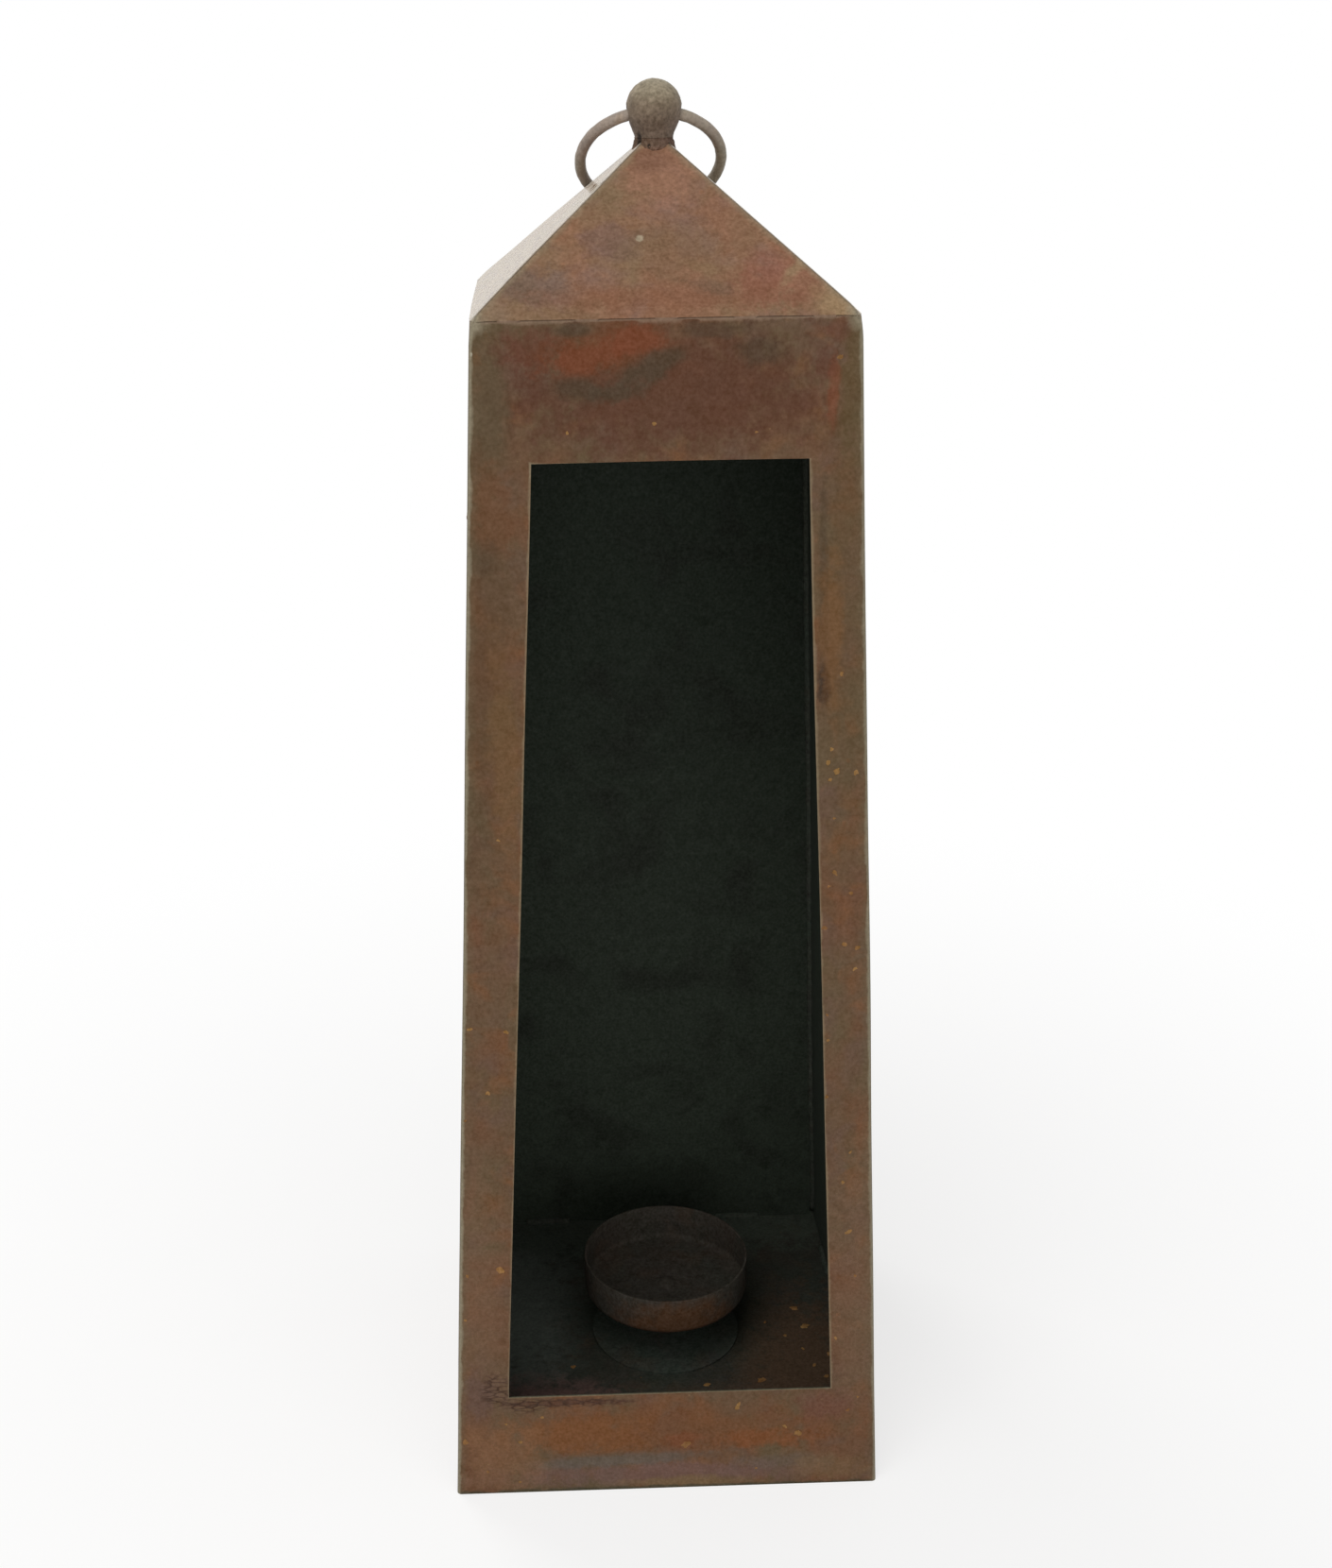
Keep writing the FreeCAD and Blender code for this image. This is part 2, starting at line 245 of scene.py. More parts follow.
def new_object(bm, name):
    """An object in the scene that takes over a mesh."""
    mesh = bpy.data.meshes.new(name)
    bm.to_mesh(mesh)
    bm.free()
    made = bpy.data.objects.new(name, mesh)
    bpy.context.scene.collection.objects.link(made)
    return made


def finish_piece(bm, name, body, material, replaced=(), crease=40):
    """Makes a piece of a finished mesh: smooth but for its creases, on its body, with its material."""
    piece = new_object(bm, name)
    mesh = piece.data
    mesh.polygons.foreach_set("use_smooth", [True] * len(mesh.polygons))
    mesh.set_sharp_from_angle(angle=math.radians(crease))
    mesh.materials.append(material)
    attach(piece, body)
    if replaced:
        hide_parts(*replaced)
    return piece


# Sheet, braze and small parts

def mark_soot_and_shade(bm, axis):
    """Stores how far each point of a wall or facet that faces along X or Y takes soot and painted shade: 1 on
    its inner side and 0 on its outer side and on the worn eave corners. Those are stored as rubbed."""
    layer = bm.verts.layers.float.new("soot_and_shade")
    rubbed = bm.verts.layers.float.new("rubbed")
    for vert in bm.verts:
        reach = abs(vert.co[axis])
        if vert.co.z < TOWER_TOP + EDGE_ROUND:
            depth = half_width(vert.co.z) - reach
        else:
            depth = (APEX - vert.co.z - reach * ROOF_SLOPE) * math.cos(math.atan(ROOF_SLOPE))
        vert[rubbed] = corner_share(vert.co)
        vert[layer] = smooth_share(depth, *SOOT_AND_SHADE_DEPTHS) * (vert[rubbed] < CLEAN_CORNER)


def mark_cut(bm):
    """Stores 1 at the points of the window's cut edges, which face along the sheet, and 0 elsewhere."""
    layer = bm.verts.layers.float.new("cut")
    bm.normal_update()
    for face in bm.faces:
        middle = face.calc_center_median()
        inside = abs(middle.x) < half_width(middle.z) - RIM_MARGIN and middle.z > RIM_MARGIN
        if inside and abs(face.normal.y) < 0.8 and middle.z < TOWER_TOP - RIM_MARGIN:
            for vert in face.verts:
                vert[layer] = 1.0


def dress_sheet(node, material):
    """A wall or a roof facet of hand-worked sheet, with rounded edges, in place of its CAD node."""
    bm = cad_copy(node)
    round_sharp_edges(bm, EDGE_ROUND)
    cut_grid(bm, SHEET_GRID)
    cut_by_corners(bm)
    mark_soot_and_shade(bm, 0 if node in ("left_panel", "right_panel", "roof_left", "roof_right") else 1)
    if node == "front_panel":
        mark_cut(bm)
    for vert in bm.verts:
        vert.co += sway(vert.co)
    piece = finish_piece(bm, node + "_sheet", "tower", material, [node])
    weighted = piece.modifiers.new("flat_faces_stay_flat", "WEIGHTED_NORMAL")
    weighted.keep_sharp = True
    return piece


def dress_bead(node, name, material, spacing, lump, wave):
    """A lumpy bead of braze or a rough-turned piece, in place of its CAD node."""
    bm = cad_copy(node)
    cut_grid(bm, spacing)
    bm.normal_update()
    for vert in bm.verts:
        vert.co += vert.normal * noise.fractal(vert.co / wave, 0.6, 2.2, 3) * lump + sway(vert.co)
        press_pits(vert)
    return finish_piece(bm, name, "tower", material, [node], crease=60)


def arc_points(centre, radius, start_deg, end_deg, steps):
    """Points on an arc about a centre, as distances out and up."""
    turns = [math.radians(start_deg + (end_deg - start_deg) * step / steps) for step in range(steps + 1)]
    return [(centre[0] + radius * math.cos(turn), centre[1] + radius * math.sin(turn)) for turn in turns]


def spun(profile, steps, closed):
    """A mesh spun about Z from a profile of distances out and up."""
    bm = bmesh.new()
    points = [bm.verts.new((reach, 0, z)) for reach, z in profile]
    edges = [bm.edges.new(pair) for pair in zip(points, points[1:])]
    if closed:
        edges.append(bm.edges.new((points[-1], points[0])))
    bmesh.ops.spin(
        bm, geom=points + edges, cent=(0, 0, 0), axis=(0, 0, 1), angle=math.tau,
        steps=steps, use_merge=True, use_duplicate=False)
    bmesh.ops.remove_doubles(bm, verts=bm.verts[:], dist=0.002 * MM)
    bmesh.ops.recalc_face_normals(bm, faces=bm.faces[:])
    return bm


CUP_WALL = 1.0 * MM
CUP_BEND = 2.5 * MM
CUP_RIM = 0.3 * MM
RIVET_RADIUS = 2.5 * MM
# How far the cup is out of round, in millimetres, and over what length
CUP_WARP = 0.2
CUP_WARP_WAVE = 40 * MM


def dress_cup(material):
    """The drawn cup, spun from its profile and left slightly out of round."""
    low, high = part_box("candle_cup")
    radius = high.y
    bend = CUP_BEND + CUP_WALL
    profile = [(RIVET_RADIUS, low.z)]
    profile += arc_points((radius - bend, low.z + bend), bend, -90, 0, 8)
    profile += arc_points((radius - CUP_RIM, high.z - CUP_RIM), CUP_RIM, 0, 90, 3)
    profile += arc_points((radius - CUP_WALL + CUP_RIM, high.z - CUP_RIM), CUP_RIM, 90, 180, 3)
    profile += arc_points((radius - bend, low.z + bend), CUP_BEND, 0, -90, 6)
    profile += [(RIVET_RADIUS, low.z + CUP_WALL)]
    bm = spun(profile, 144, closed=True)
    bmesh.ops.translate(bm, vec=((low.x + high.x) / 2, 0, 0), verts=bm.verts[:])
    for vert in bm.verts:
        vert.co += noise.noise_vector(vert.co / CUP_WARP_WAVE) * CUP_WARP * MM
    return finish_piece(bm, "cup_drawn", "tower", material, ["candle_cup"])


def drill(piece, centre, turn, radius, length):
    """Drills a round hole through a piece along Z, or along what a turn makes of Z."""
    bm = bmesh.new()
    bmesh.ops.create_cone(
        bm, cap_ends=True, cap_tris=False, segments=64, radius1=radius, radius2=radius, depth=length)
    bmesh.ops.rotate(bm, cent=(0, 0, 0), matrix=turn, verts=bm.verts[:])
    bmesh.ops.translate(bm, vec=centre, verts=bm.verts[:])
    cutter = new_object(bm, "drill")
    boolean = piece.modifiers.new("hole", "BOOLEAN")
    boolean.operation = "DIFFERENCE"
    boolean.solver = "EXACT"
    boolean.object = cutter
    bpy.context.view_layer.update()
    drilled = bpy.data.meshes.new_from_object(piece.evaluated_get(bpy.context.evaluated_depsgraph_get()))
    piece.modifiers.clear()
    solid = piece.data
    piece.data = drilled
    bpy.data.meshes.remove(solid)
    bpy.data.objects.remove(cutter)


NECK_RADIUS = 7.2 * MM
# Pits in the neck's front, each with its middle and half size in millimetres
NECK_PITS = (
    ((-5.7, -4.2, 543.2), (0.9, 1.2, 2.4)),
    ((4.4, -5.8, 540.4), (1.0, 1.0, 0.8)),
    ((-2.2, -7.0, 541.2), (0.5, 0.8, 0.7)),
)
PIT_DEPTH = 0.9 * MM
PIT_EDGE = (0.4, 1.4)


def press_pits(vert):
    """Sinks a point of the neck or the ball into the pits."""
    for middle, size in NECK_PITS:
        off = vert.co - Vector(middle) * MM
        reach = Vector((off.x / size[0], off.y / size[1], off.z / size[2])).length / MM
        sunk = PIT_DEPTH * (1 - smooth_share(reach, *PIT_EDGE))
        vert.co -= Vector((vert.co.x, vert.co.y, 0)).normalized() * sunk


PIN_RADIUS = 3.02 * MM
RING_HOLE_RADIUS = 3.38 * MM
COLLAR_BEND = 0.9 * MM
COLLAR_STEPS = 12
# The casting's grain, its lumps in millimetres, and how far the surface is sunk to make room for them
BALL_GRAIN = 3.2 * MM
BALL_LUMP = 0.16
BALL_SUNK = 0.17 * MM


def dress_ball(material):
    """The grainy cast ball on its collar, a little lumpy, with its cross hole and its socket for the pin."""
    low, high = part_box("finial_ball")
    radius = high.y
    middle = high.z - radius
    profile = arc_points((0, middle), radius, 90, -25, 54)
    start, end = Vector(profile[-1]), Vector((NECK_RADIUS, low.z))
    corner = Vector((NECK_RADIUS, low.z + COLLAR_BEND))
    for step in range(1, COLLAR_STEPS + 1):
        share = step / COLLAR_STEPS
        profile.append(tuple(start.lerp(corner, share).lerp(corner.lerp(end, share), share)))
    profile += [(NECK_RADIUS * share, low.z) for share in (0.5, 0)]
    bm = spun(profile, 128, closed=False)
    for vert in bm.verts:
        if vert.co.z > low.z + 0.1 * MM:
            lump = noise.fractal(vert.co / BALL_GRAIN, 0.6, 2.2, 4) * BALL_LUMP * MM
            away = Vector((vert.co.x, vert.co.y, max(0, vert.co.z - middle))).normalized()
            vert.co += away * (lump - BALL_SUNK)
            press_pits(vert)
    piece = finish_piece(bm, "ball_cast", "tower", material, ["finial_ball"])
    hole_place = frame["joints"][0]["pos_m"]
    drill(piece, hole_place, Matrix.Rotation(math.pi / 2, 3, "Y"), RING_HOLE_RADIUS, 3 * radius)
    drill(piece, (0, 0, low.z), Matrix.Identity(3), PIN_RADIUS, 2 * (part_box("finial_pin")[1].z - low.z))
    return piece


WIRE_RADIUS = 2.1 * MM
WIRE_GRAIN = 3.0 * MM
WIRE_LUMP = 0.10
WIRE_SUNK = 0.02 * MM


def dress_ring(material):
    """The wire ring, spun round its axis, with a slightly uneven wire."""
    low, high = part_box("hanging_ring")
    centre = (low + high) / 2
    radius = (high.x - low.x) / 2 - WIRE_RADIUS
    downhill = (centre - Vector(frame["joints"][0]["pos_m"])).normalized()
    bm = bmesh.new()
    bmesh.ops.create_circle(bm, cap_ends=False, segments=24, radius=WIRE_RADIUS)
    bmesh.ops.rotate(bm, cent=(0, 0, 0), matrix=Matrix.Rotation(math.pi / 2, 3, "X"), verts=bm.verts[:])
    bmesh.ops.translate(bm, vec=(radius, 0, 0), verts=bm.verts[:])
    bmesh.ops.spin(
        bm, geom=bm.verts[:] + bm.edges[:], cent=(0, 0, 0), axis=(0, 0, 1), angle=math.tau,
        steps=200, use_merge=True, use_duplicate=False)
    for vert in bm.verts:
        core = Vector((vert.co.x, vert.co.y, 0)).normalized() * radius
        scale = noise.fractal(vert.co / WIRE_GRAIN, 0.7, 2.1, 3) * WIRE_LUMP * MM
        vert.co = core + (vert.co - core).normalized() * (WIRE_RADIUS - WIRE_SUNK + scale)
    across = Vector((1, 0, 0))
    upright = Matrix((across, downhill, across.cross(downhill))).transposed()
    bmesh.ops.rotate(bm, cent=(0, 0, 0), matrix=upright, verts=bm.verts[:])
    bmesh.ops.translate(bm, vec=centre, verts=bm.verts[:])
    bmesh.ops.remove_doubles(bm, verts=bm.verts[:], dist=0.01 * MM)
    bmesh.ops.recalc_face_normals(bm, faces=bm.faces[:])
    return finish_piece(bm, "ring_wire", "ring", material, ["hanging_ring"])


# Crusts of rust that stand on the front at X and Z, with their widths, all in millimetres
FRONT_SCABS = (
    (71.1, 146.9, 1.3), (74.2, 123.9, 2.0), (77.6, 102.8, 1.2), (73.8, 160.7, 1.1), (-68.2, 110.5, 2.8),
    (-81.8, 108.3, 1.3), (29.9, 40.4, 2.3), (8.0, 22.1, 3.0), (55.9, 26.0, 2.6), (50.1, 29.6, 1.4),
    (-62.3, 25.7, 1.5), (-52.8, 37.8, 1.2), (-85.5, 26.6, 2.4), (70.6, 72.8, 1.3), (80.7, 43.3, 1.0),
    (76.9, 36.8, 1.3), (-83.3, 87.1, 1.2), (61.5, 331.0, 1.4), (60.6, 259.0, 1.8), (68.5, 252.0, 1.7),
    (62.6, 222.0, 1.0), (63.4, 211.0, 1.1), (63.5, 186.0, 1.6), (-70.9, 192.0, 1.6), (-80.1, 180.0, 1.0),
    (-4.5, 452.0, 1.2), (31.5, 448.5, 0.9), (-35.0, 449.5, 1.0), (60.3, 474.0, 1.6),
    (64.5, 359.9, 1.4), (60.3, 325.8, 1.5), (63.6, 322.3, 2.1), (70.9, 321.7, 1.8), (61.3, 319.0, 1.2),
    (63.1, 303.6, 1.0), (63.9, 281.8, 1.8), (61.8, 276.2, 1.3), (70.4, 272.9, 1.4), (73.7, 250.4, 1.7),
    (72.9, 241.5, 1.5), (-63.7, 298.0, 1.1), (-77.3, 219.8, 1.4), (-62.9, 218.1, 1.6), (-68.1, 34.9, 1.1),
    (38.2, 8.7, 0.9), (-76.6, 11.1, 1.2), (-63.1, 5.4, 1.0))

# Crusts on the floor at X and Y, with their widths, all in millimetres
FLOOR_SCABS = (
    (67.7, 11.5, 3.2), (71.2, -2.2, 3.6), (46.2, -39.5, 3.6), (21.6, -41.5, 2.6), (71.6, -30.2, 2.0),
    (79.7, -22.6, 2.4), (76.0, -38.3, 2.2), (68.0, -18.6, 1.6), (61.0, -8.7, 1.8), (52.9, 1.5, 1.5),
    (-38.5, -26.3, 2.2), (33.5, -47.0, 1.6), (58.0, -48.0, 2.0), (12.0, -52.0, 1.4), (-58.0, -48.0, 1.4))
SCABS_PER_WALL = 24
SCAB_MARGIN = 12 * MM
SCAB_RAGGED = 0.75
SCAB_FLAT = 0.28


def add_scab(bm, place, inward, width):
    """A flat ragged crust of rust, sunk a little into the sheet and longer one way than the other."""
    crust = bmesh.ops.create_icosphere(bm, subdivisions=2, radius=width / 2)["verts"]
    length = random.uniform(0.75, 1.5)
    turn = inward.to_track_quat("Z", "Y").to_matrix() @ Matrix.Rotation(random.uniform(0, math.pi), 3, "Z")
    for vert in crust:
        vert.co *= 1 + SCAB_RAGGED * noise.noise(vert.co / (0.35 * width) + place * 900)
        vert.co = Vector((vert.co.x * length, vert.co.y / length, vert.co.z * SCAB_FLAT))
        vert.co = turn @ vert.co + place


def dress_scabs(material):
    """Crusts of rust: the front's own, others mostly low on the other walls, and the floor's."""
    bm = bmesh.new()
    slant = (BOTTOM_HALF - TOP_HALF) / TOWER_TOP
    places = [(Vector((x * MM, 0, z * MM)), 0, width * MM) for x, z, width in FRONT_SCABS]
    for side in range(1, 4):
        for _ in range(SCABS_PER_WALL):
            z = SCAB_MARGIN + (TOWER_TOP - 2 * SCAB_MARGIN) * random.random() ** 2
            x = (half_width(z) - 5 * MM) * random.uniform(-1, 1)
            places.append((Vector((x, 0, z)), side, random.uniform(0.9, 2.6) * MM))
    for point, side, width in places:
        point.y = -half_width(point.z) + 0.06 * width
        turn = Matrix.Rotation(side * math.pi / 2, 3, "Z")
        place = turn @ point
        add_scab(bm, place + sway(place), turn @ Vector((0, 1, -slant)), 1.2 * width)
    floor_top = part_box("floor_plate")[1].z
    for x, y, width in FLOOR_SCABS:
        add_scab(bm, Vector((x * MM, y * MM, floor_top)), Vector((0, 0, -1)), width * MM)
    return finish_piece(bm, "rust_scabs", "tower", material)


# Materials

# A layer is a mask and the tint that it lays over the colour so far

def lay_over(tree, colour, layers):
    """Lays tints over a colour in turn, each as far as its mask says."""
    for mask, tint in layers:
        tint = linear(tint) if isinstance(tint, str) else tint
        colour = add(tree, "Mix", {0: mask, 6: colour, 7: tint}, data_type="RGBA").outputs[2]
    return colour


def cloud_layer(tree, place, tint, size, edges, strength, stretch=(1, 1, 1)):
    """Soft clouds of a tint, about a size in millimetres, where their noise passes the edges."""
    shifted = add(tree, "Mapping", {"Vector": place, "Location": (size * 0.031, size * 0.017, size * 0.044),
                                    "Scale": stretch})
    cloud = add(tree, "TexNoise", {"Vector": shifted.outputs[0], "Scale": per_mm(size), "Detail": 3.5,
                                   "Roughness": 0.52, "Distortion": 0.5})
    share = add(tree, "MapRange", {"Value": cloud.outputs["Fac"], "From Min": edges[0],
                                   "From Max": edges[1], "To Max": strength})
    return share.outputs[0], tint


def speck_layer(tree, place, tint, spacing, width, share, strength):
    """Ragged specks of a tint and a width, one in a share of cells a spacing apart, in millimetres."""
    cells = add(tree, "TexVoronoi", {"Vector": place, "Scale": per_mm(spacing)})
    ragged = add(tree, "TexNoise", {"Vector": place, "Scale": per_mm(width * 0.6), "Detail": 3.0})
    edge = width / spacing / 2
    reach = add(tree, "Math", {0: ragged.outputs["Fac"], 1: 1.6 * edge, 2: cells.outputs["Distance"]},
                operation="MULTIPLY_ADD")
    spot = add(tree, "MapRange", {"Value": reach.outputs[0], "From Min": 1.45 * edge,
                                  "From Max": 2.1 * edge, "To Min": strength, "To Max": 0.0})
    chosen = add(tree, "Math", {0: cells.outputs["Color"], 1: share}, operation="LESS_THAN")
    mask = add(tree, "Math", {0: spot.outputs[0], 1: chosen.outputs[0]}, operation="MULTIPLY")
    return mask.outputs[0], tint


def lay_grain(tree, place, colour, size, depth, dust):
    """Lightens and darkens a colour by a fine grain of a size in millimetres, part of it as grey dust."""
    grain = add(tree, "TexNoise", {"Vector": place, "Scale": per_mm(size), "Detail": 2.0, "Roughness": 0.6})
    share = add(tree, "MapRange", {"Value": grain.outputs["Fac"], "From Min": 0.3, "From Max": 0.7,
                                   "To Min": 1 - 0.6 * depth, "To Max": 1 + 0.6 * depth}, clamp=False)
    grained = add(tree, "Mix", {0: 1.0, 6: colour, 7: share.outputs[0]},
                  data_type="RGBA", blend_type="MULTIPLY")
    ash = add(tree, "MapRange", {"Value": grain.outputs["Fac"], "From Min": 0.3, "From Max": 0.7,
                                 "To Min": -dust * depth, "To Max": dust * depth}, clamp=False)
    return add(tree, "Mix", {0: 1.0, 6: grained.outputs[2], 7: ash.outputs[0]},
               data_type="RGBA", blend_type="ADD", clamp_result=True).outputs[2]


def rust_coat(tree, place, tones, clouds, specks):
    """Weathered rust over its first tone: clouds of red-brown, olive, plum and orange, with specks."""
    _, red, olive, plum, orange, fleck = tones
    return (
        cloud_layer(tree, place, red, 40, (0.42, 0.62), 0.9 * clouds),
        cloud_layer(tree, place, olive, 27, (0.46, 0.64), 0.8 * clouds, (1, 1, 0.6)),
        cloud_layer(tree, place, plum, 17, (0.50, 0.68), 0.7 * clouds),
        cloud_layer(tree, place, orange, 14, (0.54, 0.72), 0.6 * clouds),
        speck_layer(tree, place, orange, 13, 2.0, 0.4, specks),
        speck_layer(tree, place, fleck, 9, 0.9, 0.3, specks))


def rust_relief(tree, place, depth):
    """Normal of rusted metal: grain and scale."""
    scale = add(tree, "TexNoise", {"Vector": place, "Scale": per_mm(3), "Detail": 8.0, "Roughness": 0.68})
    bump = add(tree, "Bump", {"Height": scale.outputs["Fac"], "Strength": 0.8, "Distance": depth * MM})
    return bump.outputs["Normal"]


def oval_reach(tree, place, middle, size, rotation=(0, 0, 0)):
    """How far a point lies from the middle of an oval: 1 on its rim."""
    oval = add(tree, "Mapping", {"Vector": place, "Location": middle, "Rotation": rotation, "Scale": size},
               vector_type="TEXTURE")
    return add(tree, "VectorMath", {0: oval.outputs[0]}, operation="LENGTH").outputs["Value"]


def folded(tree, place):
    """How far a point lies from the middle along X and along Y, and its height."""
    split = add(tree, "SeparateXYZ", {0: place})
    x, y = [add(tree, "Math", {0: split.outputs[axis]}, operation="ABSOLUTE").outputs[0] for axis in "XY"]
    return x, y, split.outputs["Z"]


def patches(ovals, upright=True):
    """Ragged oval patches, each from (middle, half width and half height, tilt, tint, strength), in
    millimetres and degrees, on the front in X and Z or on the floor in X and Y."""
    def layers(tree, place):
        ragged = add(tree, "TexNoise", {"Vector": place, "Scale": per_mm(7), "Detail": 6.0,
                                        "Roughness": 0.68})
        for (x, up), (width, height), tilt, tint, strength in ovals:
            turn = math.radians(-tilt)
            if upright:
                middle, rotation = (x * MM, -BOTTOM_HALF, up * MM), (0, turn, 0)
                size = (width * MM, 1.0, height * MM)
            else:
                middle, rotation = (x * MM, up * MM, 0), (0, 0, -turn)
                size = (width * MM, height * MM, 1.0)
            reach = oval_reach(tree, place, middle, size, rotation)
            edge = add(tree, "Math", {0: ragged.outputs["Fac"], 1: 2.4, 2: reach}, operation="MULTIPLY_ADD")
            mask = add(tree, "MapRange", {"Value": edge.outputs[0], "From Min": 1.65, "From Max": 2.5,
                                          "To Min": strength, "To Max": 0.0}, interpolation_type="SMOOTHSTEP")
            yield mask.outputs[0], tint
    return layers


def inner_soot_and_shade(tree, place):
    """Soot and painted shade inside: green-black, with painted light low down and by the side walls."""
    split = add(tree, "SeparateXYZ", {0: place})
    off = add(tree, "Math", {0: split.outputs["X"]}, operation="ABSOLUTE")
    # Painted light: lighter low down, where less light reaches
    low = add(tree, "MapRange", {"Value": split.outputs["Z"], "From Min": 0.02, "From Max": 0.34})
    half = add(tree, "MapRange", {"Value": split.outputs["Z"], "From Max": TOWER_TOP,
                                  "To Min": BOTTOM_HALF, "To Max": TOP_HALF})
    inset = add(tree, "Math", {0: half.outputs[0], 1: off.outputs[0]}, operation="SUBTRACT")
    # Painted light: paler by the side walls, where shade falls
    side = add(tree, "MapRange", {"Value": inset.outputs[0], "From Min": 0.003, "From Max": 0.0015,
                                  "To Max": 0.9})
    soot_and_shade = lay_over(tree, linear(SOOT_LOW_PAINTED_LIGHT), (
        (low.outputs[0], SOOT_HIGH),
        cloud_layer(tree, place, SOOT_BROWN, 30, (0.50, 0.68), 0.5),
        (side.outputs[0], SOOT_SIDE_PAINTED_LIGHT)))
    yield add(tree, "Attribute", attribute_name="soot_and_shade").outputs["Fac"], soot_and_shade


def cut_edges(tree, place):
    """Bare, paler metal on the window's cut edges and burrs."""
    uneven = add(tree, "TexNoise", {"Vector": place, "Scale": per_mm(9), "Detail": 5.0, "Roughness": 0.7})
    bare = add(tree, "MapRange", {"Value": uneven.outputs["Fac"], "From Min": 0.36, "From Max": 0.6,
                                  "To Max": 0.75})
    cut = add(tree, "Attribute", attribute_name="cut").outputs["Fac"]
    mask = add(tree, "Math", {0: bare.outputs[0], 1: cut}, operation="MULTIPLY")
    yield mask.outputs[0], "#8a8069"


def window_rim(tree, place):
    """A thin, broken line of bare metal on the burr along the window's upright edges."""
    split = add(tree, "SeparateXYZ", {0: place})
    across = add(tree, "Math", {0: split.outputs["X"], 1: WINDOW_SHIFT}, operation="SUBTRACT")
    off = add(tree, "Math", {0: across.outputs[0]}, operation="ABSOLUTE")
    half = add(tree, "MapRange", {"Value": split.outputs["Z"], "From Max": TOWER_TOP,
                                  "To Min": WINDOW_HALF_LOW, "To Max": WINDOW_HALF_HIGH})
    outside = add(tree, "Math", {0: off.outputs[0], 1: half.outputs[0]}, operation="SUBTRACT")
    uneven = add(tree, "TexNoise", {"Vector": place, "Scale": per_mm(11), "Detail": 4.0, "Roughness": 0.65})
    reach = add(tree, "MapRange", {"Value": uneven.outputs["Fac"], "From Min": 0.35, "From Max": 0.65,
                                   "To Min": 0.0003, "To Max": 0.0014})
    mask = add(tree, "MapRange", {"Value": outside.outputs[0], "From Min": 0.0002,
                                  "From Max": reach.outputs[0], "To Min": 0.6, "To Max": 0.0})
    for level, side in ((WINDOW_SILL, "GREATER_THAN"), (WINDOW_LINTEL, "LESS_THAN")):
        within = add(tree, "Math", {0: split.outputs["Z"], 1: level}, operation=side)
        mask = add(tree, "Math", {0: mask.outputs[0], 1: within.outputs[0]}, operation="MULTIPLY")
    yield mask.outputs[0], "#80725b"


def worn_corners(tree, place):
    """Pale metal where the eave corners are worn round."""
    rubbed = add(tree, "Attribute", attribute_name="rubbed").outputs["Fac"]
    uneven = add(tree, "TexNoise", {"Vector": place, "Scale": per_mm(4), "Detail": 4.0, "Roughness": 0.65})
    reach = add(tree, "Math", {0: uneven.outputs["Fac"], 1: 0.6, 2: rubbed}, operation="MULTIPLY_ADD")
    mask = add(tree, "MapRange", {"Value": reach.outputs[0], "From Min": 0.55, "From Max": 1.1,
                                  "To Max": 0.75})
    yield mask.outputs[0], "#8b836f"


def corner_reflection_and_wear(tree, place):
    """A thin pale line of painted reflection down each upright corner, with a dull olive border, and the pale
    worn eave corners.
    """
    x, y, height = folded(tree, place)
    nearer = add(tree, "Math", {0: x, 1: y}, operation="MINIMUM")
    half = add(tree, "MapRange", {"Value": height, "From Max": TOWER_TOP, "To Min": BOTTOM_HALF,
                                  "To Max": TOP_HALF})
    inset = add(tree, "Math", {0: half.outputs[0], 1: nearer.outputs[0]}, operation="SUBTRACT")
    uneven = add(tree, "TexNoise", {"Vector": place, "Scale": per_mm(12), "Detail": 4.0, "Roughness": 0.6})
    dull_reach = add(tree, "Math", {0: uneven.outputs["Fac"], 1: 0.009}, operation="MULTIPLY")
    dull = add(tree, "MapRange", {"Value": inset.outputs[0], "From Min": 0.0008,
                                  "From Max": dull_reach.outputs[0], "To Min": 0.5, "To Max": 0.0})
    yield dull.outputs[0], "#5d523e"
    # Painted reflection of the white surround along each rounded upright corner
    pale_reach = add(tree, "MapRange", {"Value": uneven.outputs["Fac"], "From Min": 0.3, "From Max": 0.7,
                                        "To Min": 0.0009, "To Max": 0.0026})
    pale = add(tree, "MapRange", {"Value": inset.outputs[0], "From Min": 0.0007,
                                  "From Max": pale_reach.outputs[0], "To Min": 0.7, "To Max": 0.0})
    yield pale.outputs[0], "#8d8672"
    yield from worn_corners(tree, place)


def eave_pale_line(tree, place):
    """A thin, broken pale line just under the eave."""
    height = add(tree, "SeparateXYZ", {0: place}).outputs["Z"]
    below = add(tree, "Math", {0: TOWER_TOP, 1: height}, operation="SUBTRACT")
    uneven = add(tree, "TexNoise", {"Vector": place, "Scale": per_mm(14), "Detail": 4.0, "Roughness": 0.65})
    reach = add(tree, "MapRange", {"Value": uneven.outputs["Fac"], "From Min": 0.35, "From Max": 0.65,
                                   "To Min": 0.0005, "To Max": 0.0024})
    rub = add(tree, "MapRange", {"Value": below.outputs[0], "From Min": 0.0004,
                                 "From Max": reach.outputs[0], "To Min": 0.6, "To Max": 0.0})
    yield rub.outputs[0], "#85705f"


